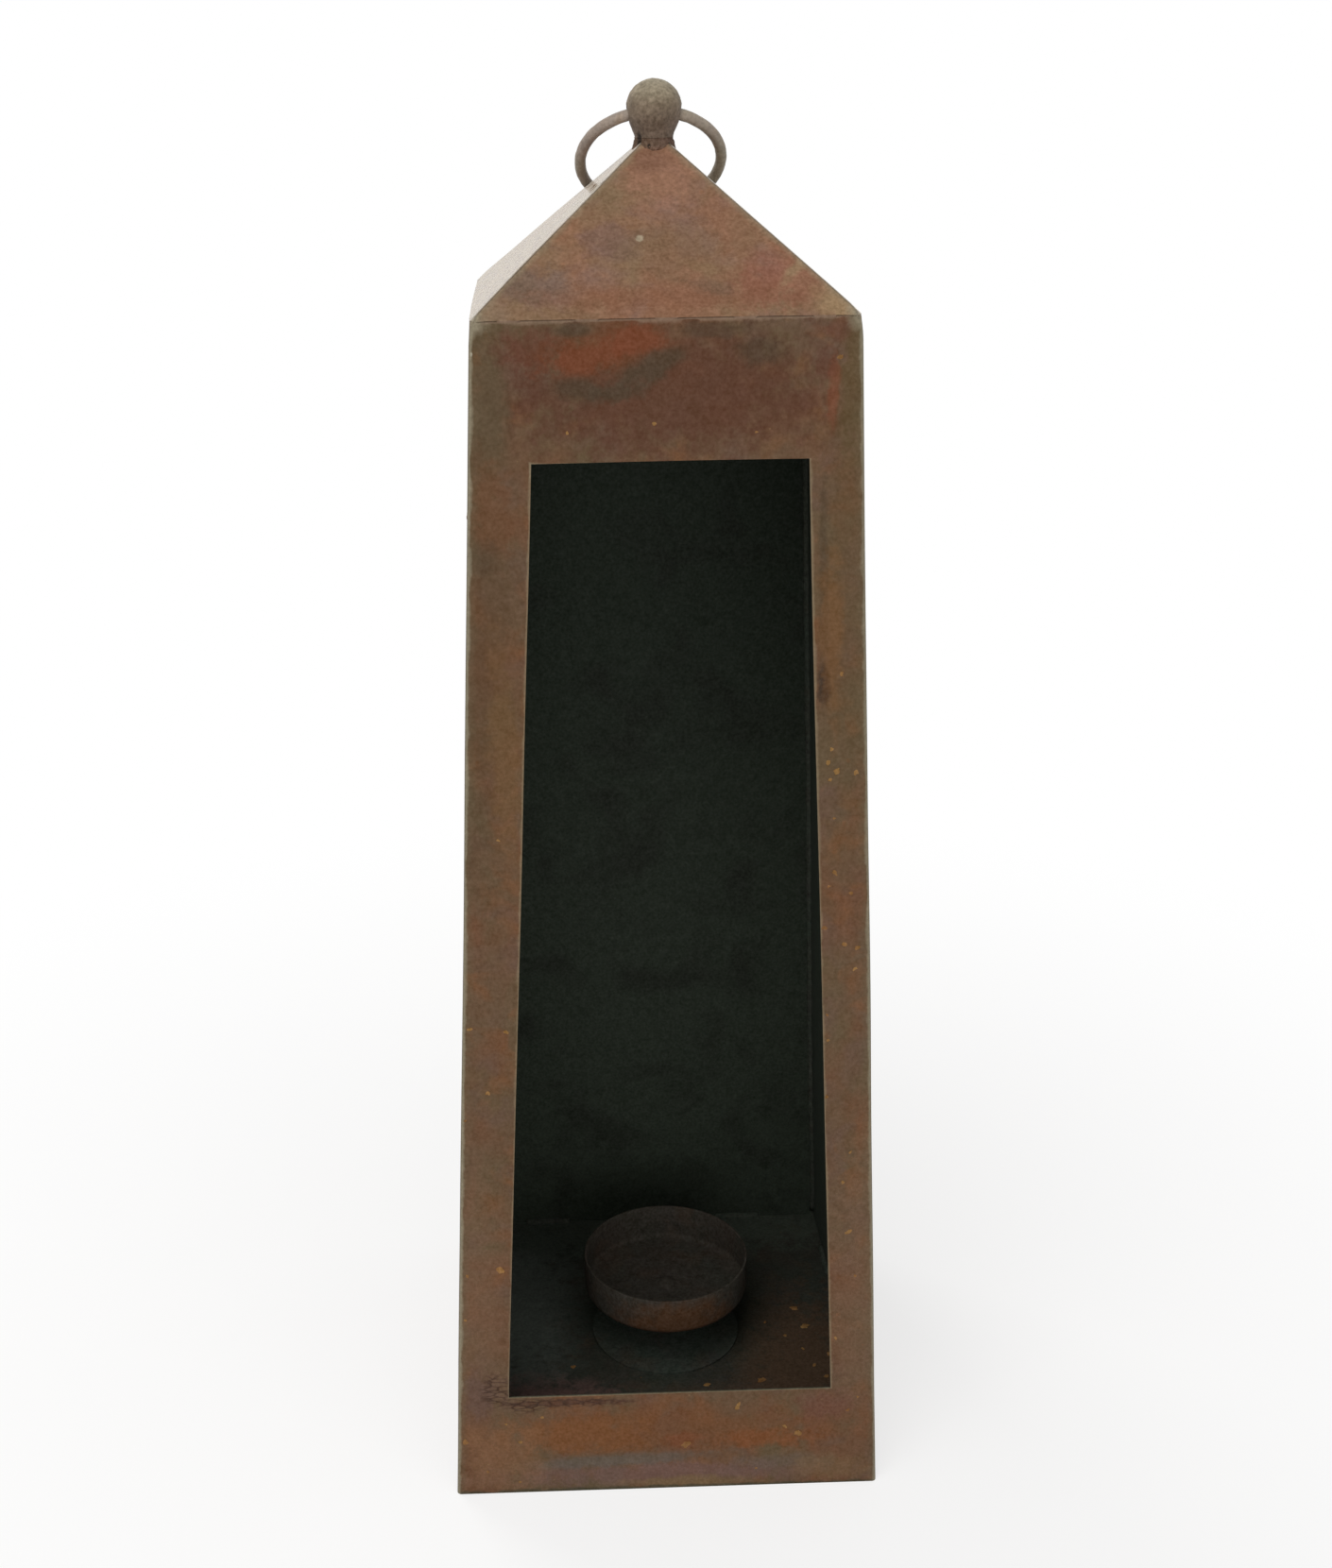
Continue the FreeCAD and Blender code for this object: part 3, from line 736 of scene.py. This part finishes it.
def seam_grime_and_highlight(tree, place):
    """Dark grime in the seams between roof facets, with a pale painted highlight beside them along the
    ridges.
    """
    x, y, _ = folded(tree, place)
    apart = add(tree, "Math", {0: x, 1: y}, operation="SUBTRACT")
    off = add(tree, "Math", {0: apart.outputs[0]}, operation="ABSOLUTE")
    uneven = add(tree, "TexNoise", {"Vector": place, "Scale": per_mm(6), "Detail": 5.0, "Roughness": 0.7})
    # Painted highlight beside each seam, and dark grime in it
    for start, reach, tint in ((0.0009, 0.0075, "#81735c"), (0.0001, 0.0014, "#3a3128")):
        end = add(tree, "Math", {0: uneven.outputs["Fac"], 1: reach}, operation="MULTIPLY")
        mask = add(tree, "MapRange", {"Value": off.outputs[0], "From Min": start, "From Max": end.outputs[0],
                                      "To Min": 0.6, "To Max": 0.0})
        yield mask.outputs[0], tint
    yield from worn_corners(tree, place)


def rusted_material(name, tones, layers=(), roughness=0.55, depth=0.12, shine=0.2, grain=0.26,
                    clouds=1.0, specks=0.5, dust=0.025, powder=0.0):
    """Weathered rusted steel, with further layers laid over its coat and a grain over them all. Powder is
    how much fine pale rust lies on it in flecks, which shows at flat angles."""
    material = bpy.data.materials.new(name)
    material.use_nodes = True
    tree = material.node_tree
    tree.nodes.clear()
    place = add(tree, "TexCoord").outputs["Object"]
    colour = lay_over(tree, linear(tones[0]), rust_coat(tree, place, tones, clouds, specks))
    for layer in layers:
        colour = lay_over(tree, colour, layer(tree, place))
    colour = lay_grain(tree, place, colour, 1.3, grain, dust)
    colour = lay_grain(tree, place, colour, 4, 0.5 * grain, dust)
    inputs = {"Base Color": colour, "Roughness": roughness, "Specular IOR Level": shine,
              "Normal": rust_relief(tree, place, depth)}
    if powder:
        flecked = add(tree, "TexNoise", {"Vector": place, "Scale": per_mm(3.5), "Detail": 4.0,
                                         "Roughness": 0.7})
        share = add(tree, "MapRange", {"Value": flecked.outputs["Fac"], "From Min": 0.36, "From Max": 0.5,
                                       "To Max": powder})
        inputs |= {"Sheen Weight": share.outputs[0], "Sheen Roughness": 0.4, "Sheen Tint": linear("#fff6e6")}
    add(tree, "OutputMaterial", {"Surface": add(tree, "BsdfPrincipled", inputs).outputs[0]})
    return material


# The inner soot's tones: lighter low down and by the side walls as painted light
SOOT_LOW_PAINTED_LIGHT = "#3a4037"
SOOT_HIGH = "#2c322a"
SOOT_BROWN = "#242420"
SOOT_SIDE_PAINTED_LIGHT = "#444941"
HEADER_BROWN = "#523629"
ORANGE_RUST = "#6b3d29"
DARK_RUST = "#453a2d"
OLIVE_RUST = "#55472f"
PLUM_RUST = "#67504a"

# Stains of the front wall, with a painted shade line along its foot and a painted glint at its top left
# corner, on X and Z
FRONT_PATCHES = (
    ((-68, 390), (16, 110), 0, "#523f2d", 0.6),
    ((68, 390), (14, 100), 0, "#574530", 0.5),
    ((-82, 100), (14, 70), 0, "#6c5340", 0.5),
    ((82, 100), (14, 70), 0, "#6b5240", 0.5),
    ((0, 464), (66, 25), 0, HEADER_BROWN, 0.85),
    ((-62, 461), (7, 27), 0, "#544836", 0.7),
    ((65, 462), (5, 26), 0, OLIVE_RUST, 0.6),
    ((-46.5, 478), (13, 8), 0, "#5a3328", 0.5),
    ((-20, 478), (26, 9), 8, "#5f3c27", 0.7),
    ((-10.1, 480.3), (12, 5), 0, ORANGE_RUST, 0.75),
    ((-27.9, 475.2), (14, 6), 14, ORANGE_RUST, 0.65),
    ((-29.7, 464), (11, 4.6), -8, DARK_RUST, 0.7),
    ((-17, 463), (9, 3.6), 0, DARK_RUST, 0.75),
    ((-5.4, 471.7), (13, 5), 24, DARK_RUST, 0.8),
    ((-32, 484.5), (8, 2.4), 0, DARK_RUST, 0.7),
    ((16, 484), (16, 3.0), 0, DARK_RUST, 0.55),
    ((33, 476.5), (9, 5), 0, DARK_RUST, 0.6),
    ((58.2, 463), (2.4, 11), 0, "#74442f", 0.5),
    ((59.5, 484), (4, 5), 0, "#5c382d", 0.4),
    ((55, 472), (4, 9), 0, "#57382c", 0.4),
    ((57, 388), (2.0, 44), 1.4, DARK_RUST, 0.6),
    ((57.6, 358), (2.4, 8.5), 4, "#362c24", 0.95),
    ((58.0, 353), (2.8, 4), 0, "#362c24", 0.8),
    ((60, 376), (5, 30), 1.4, "#6d4c2e", 0.5),
    ((-62, 420), (9, 20), 0, "#67442f", 0.5),
    ((-66, 405), (8, 7), 0, DARK_RUST, 0.45),
    ((-60, 330), (6, 40), 1.4, "#6a4f33", 0.5),
    ((0, 30), (80, 13), 0, "#69442b", 0.6),
    ((-34, 28), (28, 9), 0, "#70482a", 0.6),
    ((42, 24), (20, 5), 0, "#764628", 0.55),
    ((6, 25), (8, 4), 0, "#6f4028", 0.5),
    ((0, 8), (76, 6), 0, PLUM_RUST, 0.7),
    ((-22, 15), (40, 3.4), 2, "#5a544c", 0.65),
    ((48, 12), (24, 4), 0, "#5d5045", 0.6),
    ((10, 3), (26, 3), 0, "#6e5a3f", 0.7),
    ((70, 8), (18, 7), 0, "#6b553c", 0.6),
    ((-79, 50), (7, 14), 0, "#5a463d", 0.75),
    ((-70, 18), (18, 18), 0, "#74553d", 0.6),
    ((-40, 45.0), (29, 1.9), 0, "#4c352b", 0.8),
    ((28, 40), (11, 6), 0, "#5d4938", 0.5),
    ((66, 40), (12, 8), 0, "#63453a", 0.6),
    # Painted shade along the foot of the wall
    ((0, 0), (200, 1.5), 0, "#3d3b2e", 0.85),
    # Painted glint at the top left corner
    ((-67.6, 477), (0.5, 0.9), 0, "#cfc9b8", 0.9),
)

# Stains and rubs of the front roof facet, and a painted highlight along its right ridge, on X and Z
ROOF_PATCHES = (
    ((46, 500), (20, 10), 0, "#855544", 0.45),
    ((34, 497), (12, 7), 0, "#7d5040", 0.4),
    # Painted highlight along the right ridge, in this patch and the next
    ((61, 492), (9, 6), 0, "#8e7658", 0.8),
    ((50, 505), (14, 2.2), 41, "#8a7458", 0.7),
    ((-46, 498), (14, 6), 0, "#63534a", 0.6),
    ((-62, 490), (9, 5), 0, "#7a6652", 0.6),
    ((0, 494), (50, 4), 0, "#744e3a", 0.5),
    ((-18, 511), (12, 6), 0, "#68504a", 0.5),
    ((5, 508), (22, 9), 0, "#6d5741", 0.5),
    ((13, 503), (7, 1.8), -14, "#7f654b", 0.6),
    ((16, 497), (9, 2.4), -8, "#5f4c3d", 0.5),
    ((-7.6, 512), (1.2, 0.9), 0, "#9a8d76", 0.8),
    ((2, 532), (15, 12), 0, "#8a6450", 0.7),
    ((-3, 537), (8, 4), 0, "#70503f", 0.6),
)

# Rust with painted light towards the floor's front and right, painted light at its left and back where
# shade falls, and a painted shadow round the cup's foot, on X and Y
FLOOR_LIGHT_AND_SHADE_PATCHES = (
    # Rust with painted light at the front and right, where light falls through the window
    ((64, -30), (32, 54), 0, "#4e3d2f", 0.9),
    ((20, -62), (60, 20), 0, "#4f3f33", 0.85),
    # Painted light at the left, where shade falls
    ((-64, 20), (30, 76), 0, "#565b54", 0.95),
    ((-50, -58), (40, 24), 0, "#67504a", 0.9),
    # Painted shadow of the cup round its foot
    ((5.5, 10), (48, 50), 0, "#2b3029", 0.85),
    # Painted light at the back, where shade falls
    ((0, 80), (120, 24), 0, "#454b42", 0.85),
)


def weather(tree, place):
    """Redder brown near the eave, orange-brown near the ground and a plum-grey band along the lower edge."""
    height = add(tree, "SeparateXYZ", {0: place}).outputs["Z"]
    uneven = add(tree, "TexNoise", {"Vector": place, "Scale": per_mm(45), "Detail": 5.0, "Roughness": 0.6})
    waved = add(tree, "Math", {0: uneven.outputs["Fac"], 1: 0.09, 2: height}, operation="MULTIPLY_ADD")
    for start, end, tint, strength in ((0.44, 0.50, HEADER_BROWN, 0.7), (0.12, 0.07, "#6e492c", 0.55),
                                       (0.065, 0.052, PLUM_RUST, 0.6)):
        share = add(tree, "MapRange", {"Value": waved.outputs[0], "From Min": start, "From Max": end,
                                       "To Max": strength})
        yield share.outputs[0], tint


def sill_cracks(tree, place):
    """Dark, flat cracks in the scale below and left of the window's lower left corner."""
    flat = add(tree, "Mapping", {"Vector": place, "Scale": (0.4, 1, 1.3)})
    cells = add(tree, "TexVoronoi", {"Vector": flat.outputs[0], "Scale": per_mm(2.2)},
                feature="DISTANCE_TO_EDGE")
    line = add(tree, "MapRange", {"Value": cells.outputs["Distance"], "From Min": 0.04, "From Max": 0.16,
                                  "To Min": 0.75, "To Max": 0.0})
    for (x, z), (width, height) in (((-42, 45), (30, 2.6)), ((-72, 52), (7, 9)), ((-60, 44), (10, 4))):
        reach = oval_reach(tree, place, (x * MM, -BOTTOM_HALF, z * MM), (width * MM, 1.0, height * MM))
        near = add(tree, "MapRange", {"Value": reach, "From Min": 0.6, "From Max": 1.1,
                                      "To Min": 1.0, "To Max": 0.0})
        mask = add(tree, "Math", {0: near.outputs[0], 1: line.outputs[0]}, operation="MULTIPLY")
        yield mask.outputs[0], "#3a2a22"


def cup_front_painted_light(tree, place):
    """Painted light in orange-brown on the cup's outer wall, where light falls through the window onto its
    front.
    """
    reach = oval_reach(tree, place, (0.010, -0.034, 0.044), (0.034, 0.016, 0.014))
    ragged = add(tree, "TexNoise", {"Vector": place, "Scale": per_mm(6), "Detail": 5.0})
    edge = add(tree, "Math", {0: ragged.outputs["Fac"], 1: 1.2, 2: reach}, operation="MULTIPLY_ADD")
    mask = add(tree, "MapRange", {"Value": edge.outputs[0], "From Min": 1.0, "From Max": 1.7,
                                  "To Min": 0.95, "To Max": 0.0})
    yield mask.outputs[0], "#4a3424"


def neck_pits(tree, place):
    """Dark pits in the neck's front, and a rusty foot where it meets the roof."""
    foot = add(tree, "MapRange", {"Value": add(tree, "SeparateXYZ", {0: place}).outputs["Z"],
                                  "From Min": 0.5415, "From Max": 0.5385, "To Max": 0.8})
    yield foot.outputs[0], "#765546"
    for middle, size in NECK_PITS:
        reach = oval_reach(tree, place, [c * MM for c in middle], [1.5 * s * MM for s in size])
        mask = add(tree, "MapRange", {"Value": reach, "From Min": 0.5, "From Max": 1.0,
                                      "To Min": 0.95, "To Max": 0.0})
        yield mask.outputs[0], "#2b241e"


def ball_dust_light_and_shade(tree, place):
    """Dust and painted light make the ball's top pale yellow-grey; painted shade makes its underside darker,
    browner.
    """
    height = add(tree, "SeparateXYZ", {0: place}).outputs["Z"]
    uneven = add(tree, "TexNoise", {"Vector": place, "Scale": per_mm(5), "Detail": 4.0, "Roughness": 0.6})
    waved = add(tree, "Math", {0: uneven.outputs["Fac"], 1: 0.006, 2: height}, operation="MULTIPLY_ADD")
    # Pale top from dust and painted light, dark underside as painted shade
    for start, end, strength, tint in ((0.558, 0.568, 0.8, "#958c77"), (0.563, 0.551, 0.9, "#5b4b3e")):
        share = add(tree, "MapRange", {"Value": waved.outputs[0], "From Min": start, "From Max": end,
                                       "To Max": strength})
        yield share.outputs[0], tint


# Tones of each rust: its ground, red-brown, olive, plum, orange and its specks
WALL_TONES = ("#5e4a38", "#644633", "#584c38", "#5d493d", "#704b30", "#8c7653")
ROOF_TONES = ("#7a5e47", "#7f5a45", "#746048", "#755c52", "#875f45", "#a8906e")
# The floor's tones, near black as painted shade
FLOOR_SHADE_TONES = ("#383a33", "#3b342d", "#323630", "#3b3431", "#503d2a", "#6f5433")
# The inner soot, dark as painted shade
SOOT_AND_SHADE_TONES = ("#2a2f28", "#2b2d27", "#282d27", "#2a2b26", "#2d2c26", "#302e27")
# The cup's foot, dark as painted shadow
FOOT_SHADOW_TONES = ("#3c423b", "#404139", "#393f38", "#3d3c38", "#463c31", "#4f4234")
# The corner braze, dark as painted shade and a little lighter as painted light
CORNER_LIGHT_AND_SHADE_TONES = ("#40463d", "#42443c", "#3d433c", "#40403b", "#444239", "#47443c")
BALL_TONES = ("#776956", "#71604e", "#736852", "#6a5d4e", "#827054", "#a09379")
RING_TONES = ("#93867a", "#8e7d70", "#89816f", "#84786e", "#98826a", "#ada18d")
# The cup's tones, dark as painted shade
CUP_SHADE_TONES = ("#3a3731", "#3e352e", "#363730", "#3c3530", "#45362a", "#5c4832")
BRAZE_TONES = ("#564639", "#594237", "#524637", "#514239", "#624832", "#857560")
CRUST_TONES = ("#80603a", "#785333", "#87683e", "#6c4c30", "#9c7746", "#ac8c5c")


def make_materials():
    """Every finish of the lantern by name, each with what it gives the eye."""
    outside = (eave_pale_line, corner_reflection_and_wear, cut_edges, inner_soot_and_shade)
    return {
        # Matt brown rust with the front's own stains, a painted shade line along its foot, a painted glint at
        # its top left corner, an orange bloom under the eave and bare burrs
        "front": rusted_material(
            "rusted_sheet_front", WALL_TONES, (patches(FRONT_PATCHES), sill_cracks, window_rim) + outside,
            shine=0.06, grain=0.17),
        # The same matt rust, redder at the top and warmer at the foot, with a painted reflection down its
        # upright corners and pale worn eave corners
        "wall": rusted_material(
            "rusted_sheet_wall", WALL_TONES, (weather,) + outside, shine=0.06, grain=0.2),
        # Rust lighter than the walls', with a slight satin, grimy seams with a painted highlight beside them,
        # a painted highlight along the right ridge and a rub or two
        "roof_front": rusted_material(
            "rusted_roof_front", ROOF_TONES, (patches(ROOF_PATCHES), seam_grime_and_highlight, inner_soot_and_shade), roughness=0.42,
            clouds=0.8, shine=0.1),
        # Smoother roof sheet, whose pale powdery flecks brighten it when it is seen at a flat angle
        "roof": rusted_material(
            "rusted_roof", ROOF_TONES, (seam_grime_and_highlight, inner_soot_and_shade), roughness=0.2, shine=0.4, depth=0.05,
            powder=1.0),
        # Dull floor, nearly black as painted shade, that turns rusty with painted light towards the window
        "floor": rusted_material(
            "rusted_floor_painted_light_and_shade", FLOOR_SHADE_TONES, (patches(FLOOR_LIGHT_AND_SHADE_PATCHES, upright=False),), roughness=0.8,
            clouds=0.6, specks=0.8, shine=0.05, dust=0.008),
        # Dead matt green-black soot, near black as painted shade
        "inner": rusted_material(
            "soot_and_shade_steel", SOOT_AND_SHADE_TONES, roughness=0.8, shine=0.05, specks=0.1, dust=0.005),
        # Braze as dark as the soot as painted shade, and a little lighter than it as painted light where the
        # beads face away
        "corner": rusted_material(
            "corner_braze_painted_light_and_shade", CORNER_LIGHT_AND_SHADE_TONES, roughness=0.9, shine=0.02, specks=0.1),
        # The cup's foot disc as painted shadow: dark green-grey, a little lighter than the floor's painted
        # shadow round it
        "foot": rusted_material("foot_painted_shadow", FOOT_SHADOW_TONES, roughness=0.8, shine=0.05, specks=0.2),
        # Grainy cast iron, pale on top with dust and painted light, and brown below as painted shade
        "ball": rusted_material(
            "rusted_cast_iron", BALL_TONES, (ball_dust_light_and_shade, neck_pits), roughness=0.6, depth=0.3, shine=0.4,
            grain=0.45, specks=0.3),
        # Greyish worn wire with a soft shine, paler than the roof behind it
        "ring": rusted_material(
            "rusted_wire", RING_TONES, depth=0.15, shine=0.4, specks=0.2),
        # Drawn steel darkened as painted shade, with painted light in orange-brown on its front
        "cup": rusted_material(
            "drawn_cup_painted_light_and_shade", CUP_SHADE_TONES, (cup_front_painted_light,), roughness=0.7, shine=0.1, clouds=0.7, specks=0.3),
        # Lumpy brown braze with dark pits
        "braze": rusted_material(
            "rusted_braze", BRAZE_TONES, (neck_pits,), roughness=0.7, depth=0.3, grain=0.45, specks=0.3),
        # Dry ochre crusts that stand out as light dots
        "scab": rusted_material("rust_crust", CRUST_TONES, roughness=0.8, depth=0.2, shine=0.1),
    }


# Floor, surround and lamps

FLOOR_RADIUS = 40.0
FADE_START = 0.1
FADE_END = 0.7
# How far the floor is lifted to white right at the lantern, where it still shows its shadow
NEAR_WHITE = 0.7


def make_stage():
    """A plain pale floor that keeps the lantern's shadow and fades to white far off."""
    bm = bmesh.new()
    bmesh.ops.create_circle(bm, cap_ends=True, segments=96, radius=FLOOR_RADIUS)
    floor = new_object(bm, "floor")
    material = bpy.data.materials.new("pale_floor")
    material.use_nodes = True
    tree = material.node_tree
    tree.nodes.clear()
    place = add(tree, "TexCoord").outputs["Object"]
    away = add(tree, "VectorMath", {0: place}, operation="LENGTH").outputs["Value"]
    far = add(tree, "MapRange", {"Value": away, "From Min": FADE_START, "From Max": FADE_END},
              interpolation_type="SMOOTHSTEP")
    path = add(tree, "LightPath").outputs
    seen = add(tree, "Math", {0: path["Is Camera Ray"], 1: path["Is Glossy Ray"]}, operation="MAXIMUM")
    pale = add(tree, "MapRange", {"Value": far.outputs[0], "To Min": NEAR_WHITE})
    white_at = add(tree, "Math", {0: pale.outputs[0], 1: seen.outputs[0]}, operation="MULTIPLY")
    grain = add(tree, "TexNoise", {"Vector": place, "Scale": per_mm(60), "Detail": 4.0})
    tint = add(tree, "Mix", {0: grain.outputs["Fac"], 6: linear("#f3f2f0"), 7: linear("#f7f6f4")},
               data_type="RGBA")
    matt = add(tree, "BsdfPrincipled", {"Base Color": tint.outputs[2], "Roughness": 0.95})
    white = add(tree, "Emission", {"Color": (1, 1, 1, 1), "Strength": 1.0})
    mixed = add(tree, "MixShader", {0: white_at.outputs[0], 1: matt.outputs[0], 2: white.outputs[0]})
    add(tree, "OutputMaterial", {"Surface": mixed.outputs[0]})
    floor.data.materials.append(material)


WORLD_LIGHT = 0.32


def make_world():
    """Even light from all round, and white where the camera or a reflection sees past the lantern."""
    world = bpy.data.worlds.new("surround")
    bpy.context.scene.world = world
    world.use_nodes = True
    tree = world.node_tree
    tree.nodes.clear()
    path = add(tree, "LightPath").outputs
    seen = add(tree, "Math", {0: path["Is Camera Ray"], 1: path["Is Glossy Ray"]}, operation="MAXIMUM")
    shown = add(tree, "Math", {0: seen.outputs[0], 1: path["Is Transmission Ray"]}, operation="MAXIMUM")
    strength = add(tree, "Mix", {0: shown.outputs[0], 2: WORLD_LIGHT, 3: 1.0})
    light = add(tree, "Background", {"Color": (1, 1, 1, 1), "Strength": strength.outputs[0]})
    add(tree, "OutputWorld", {"Surface": light.outputs[0]})


LAMP_SIZE = 1.2
# Each lamp's name, place and power, in metres and watts
LAMPS = (
    ("key", (-0.9, -1.5, 1.4), 8.0),
    ("front", (0.2, -2.0, 0.5), 8.0),
    ("fill", (1.1, -1.5, 1.2), 6.0),
    ("top", (-0.5, -0.8, 2.1), 15.0),
    ("back", (-1.3, 1.6, 1.2), 20.0),
)


def make_lamps():
    """Soft lamps that look at the lantern's middle and don't show in its sheen."""
    middle = (cad_low + cad_high) / 2
    for name, place, power in LAMPS:
        data = bpy.data.lights.new(name, "AREA")
        data.shape = "SQUARE"
        data.size = LAMP_SIZE
        data.energy = power
        lamp = bpy.data.objects.new(name, data)
        lamp.location = place
        lamp.visible_glossy = False
        lamp.rotation_mode = "QUATERNION"
        lamp.rotation_quaternion = (middle - Vector(place)).to_track_quat("-Z", "Y")
        bpy.context.scene.collection.objects.link(lamp)


def paint_node(node, material):
    """Gives a CAD node that stays its finish."""
    data = frame["nodes"][node].data
    data.materials.clear()
    data.materials.append(material)


def dress_lantern(finish):
    """Every piece of the lantern, with its finish."""
    dress_sheet("front_panel", finish["front"])
    for node in ("left_panel", "right_panel", "back_panel"):
        dress_sheet(node, finish["wall"])
    dress_sheet("roof_front", finish["roof_front"])
    for node in ("roof_left", "roof_right", "roof_back"):
        dress_sheet(node, finish["roof"])
    dress_ball(finish["ball"])
    dress_bead("finial_neck", "neck_turned", finish["braze"], 0.7 * MM, 0.15 * MM, 2.2 * MM)
    dress_bead("neck_braze", "neck_bead", finish["braze"], 0.6 * MM, 0.3 * MM, 2.0 * MM)
    dress_bead("corner_braze", "corner_beads", finish["corner"], 4 * MM, 0.3 * MM, 5 * MM)
    dress_bead("floor_braze", "floor_beads", finish["corner"], 2 * MM, 0.2 * MM, 4 * MM)
    dress_bead("ridge_braze", "ridge_beads", finish["inner"], 3 * MM, 0.3 * MM, 5 * MM)
    dress_bead("eave_collar", "eave_folds", finish["wall"], 2 * MM, 0, MM)
    dress_bead("eave_tacks", "eave_beads", finish["wall"], 2 * MM, 0.1 * MM, 3 * MM)
    dress_ring(finish["ring"])
    dress_cup(finish["cup"])
    dress_scabs(finish["scab"])
    paint_node("floor_plate", finish["floor"])
    for node in ("finial_washer", "finial_pin"):
        paint_node(node, finish["inner"])
    paint_node("cup_foot", finish["foot"])
    for node in ("cup_stem", "cup_rivet"):
        paint_node(node, finish["cup"])


bpy.context.scene.view_settings.view_transform = "Standard"
make_camera()
dress_lantern(make_materials())
make_stage()
make_world()
make_lamps()
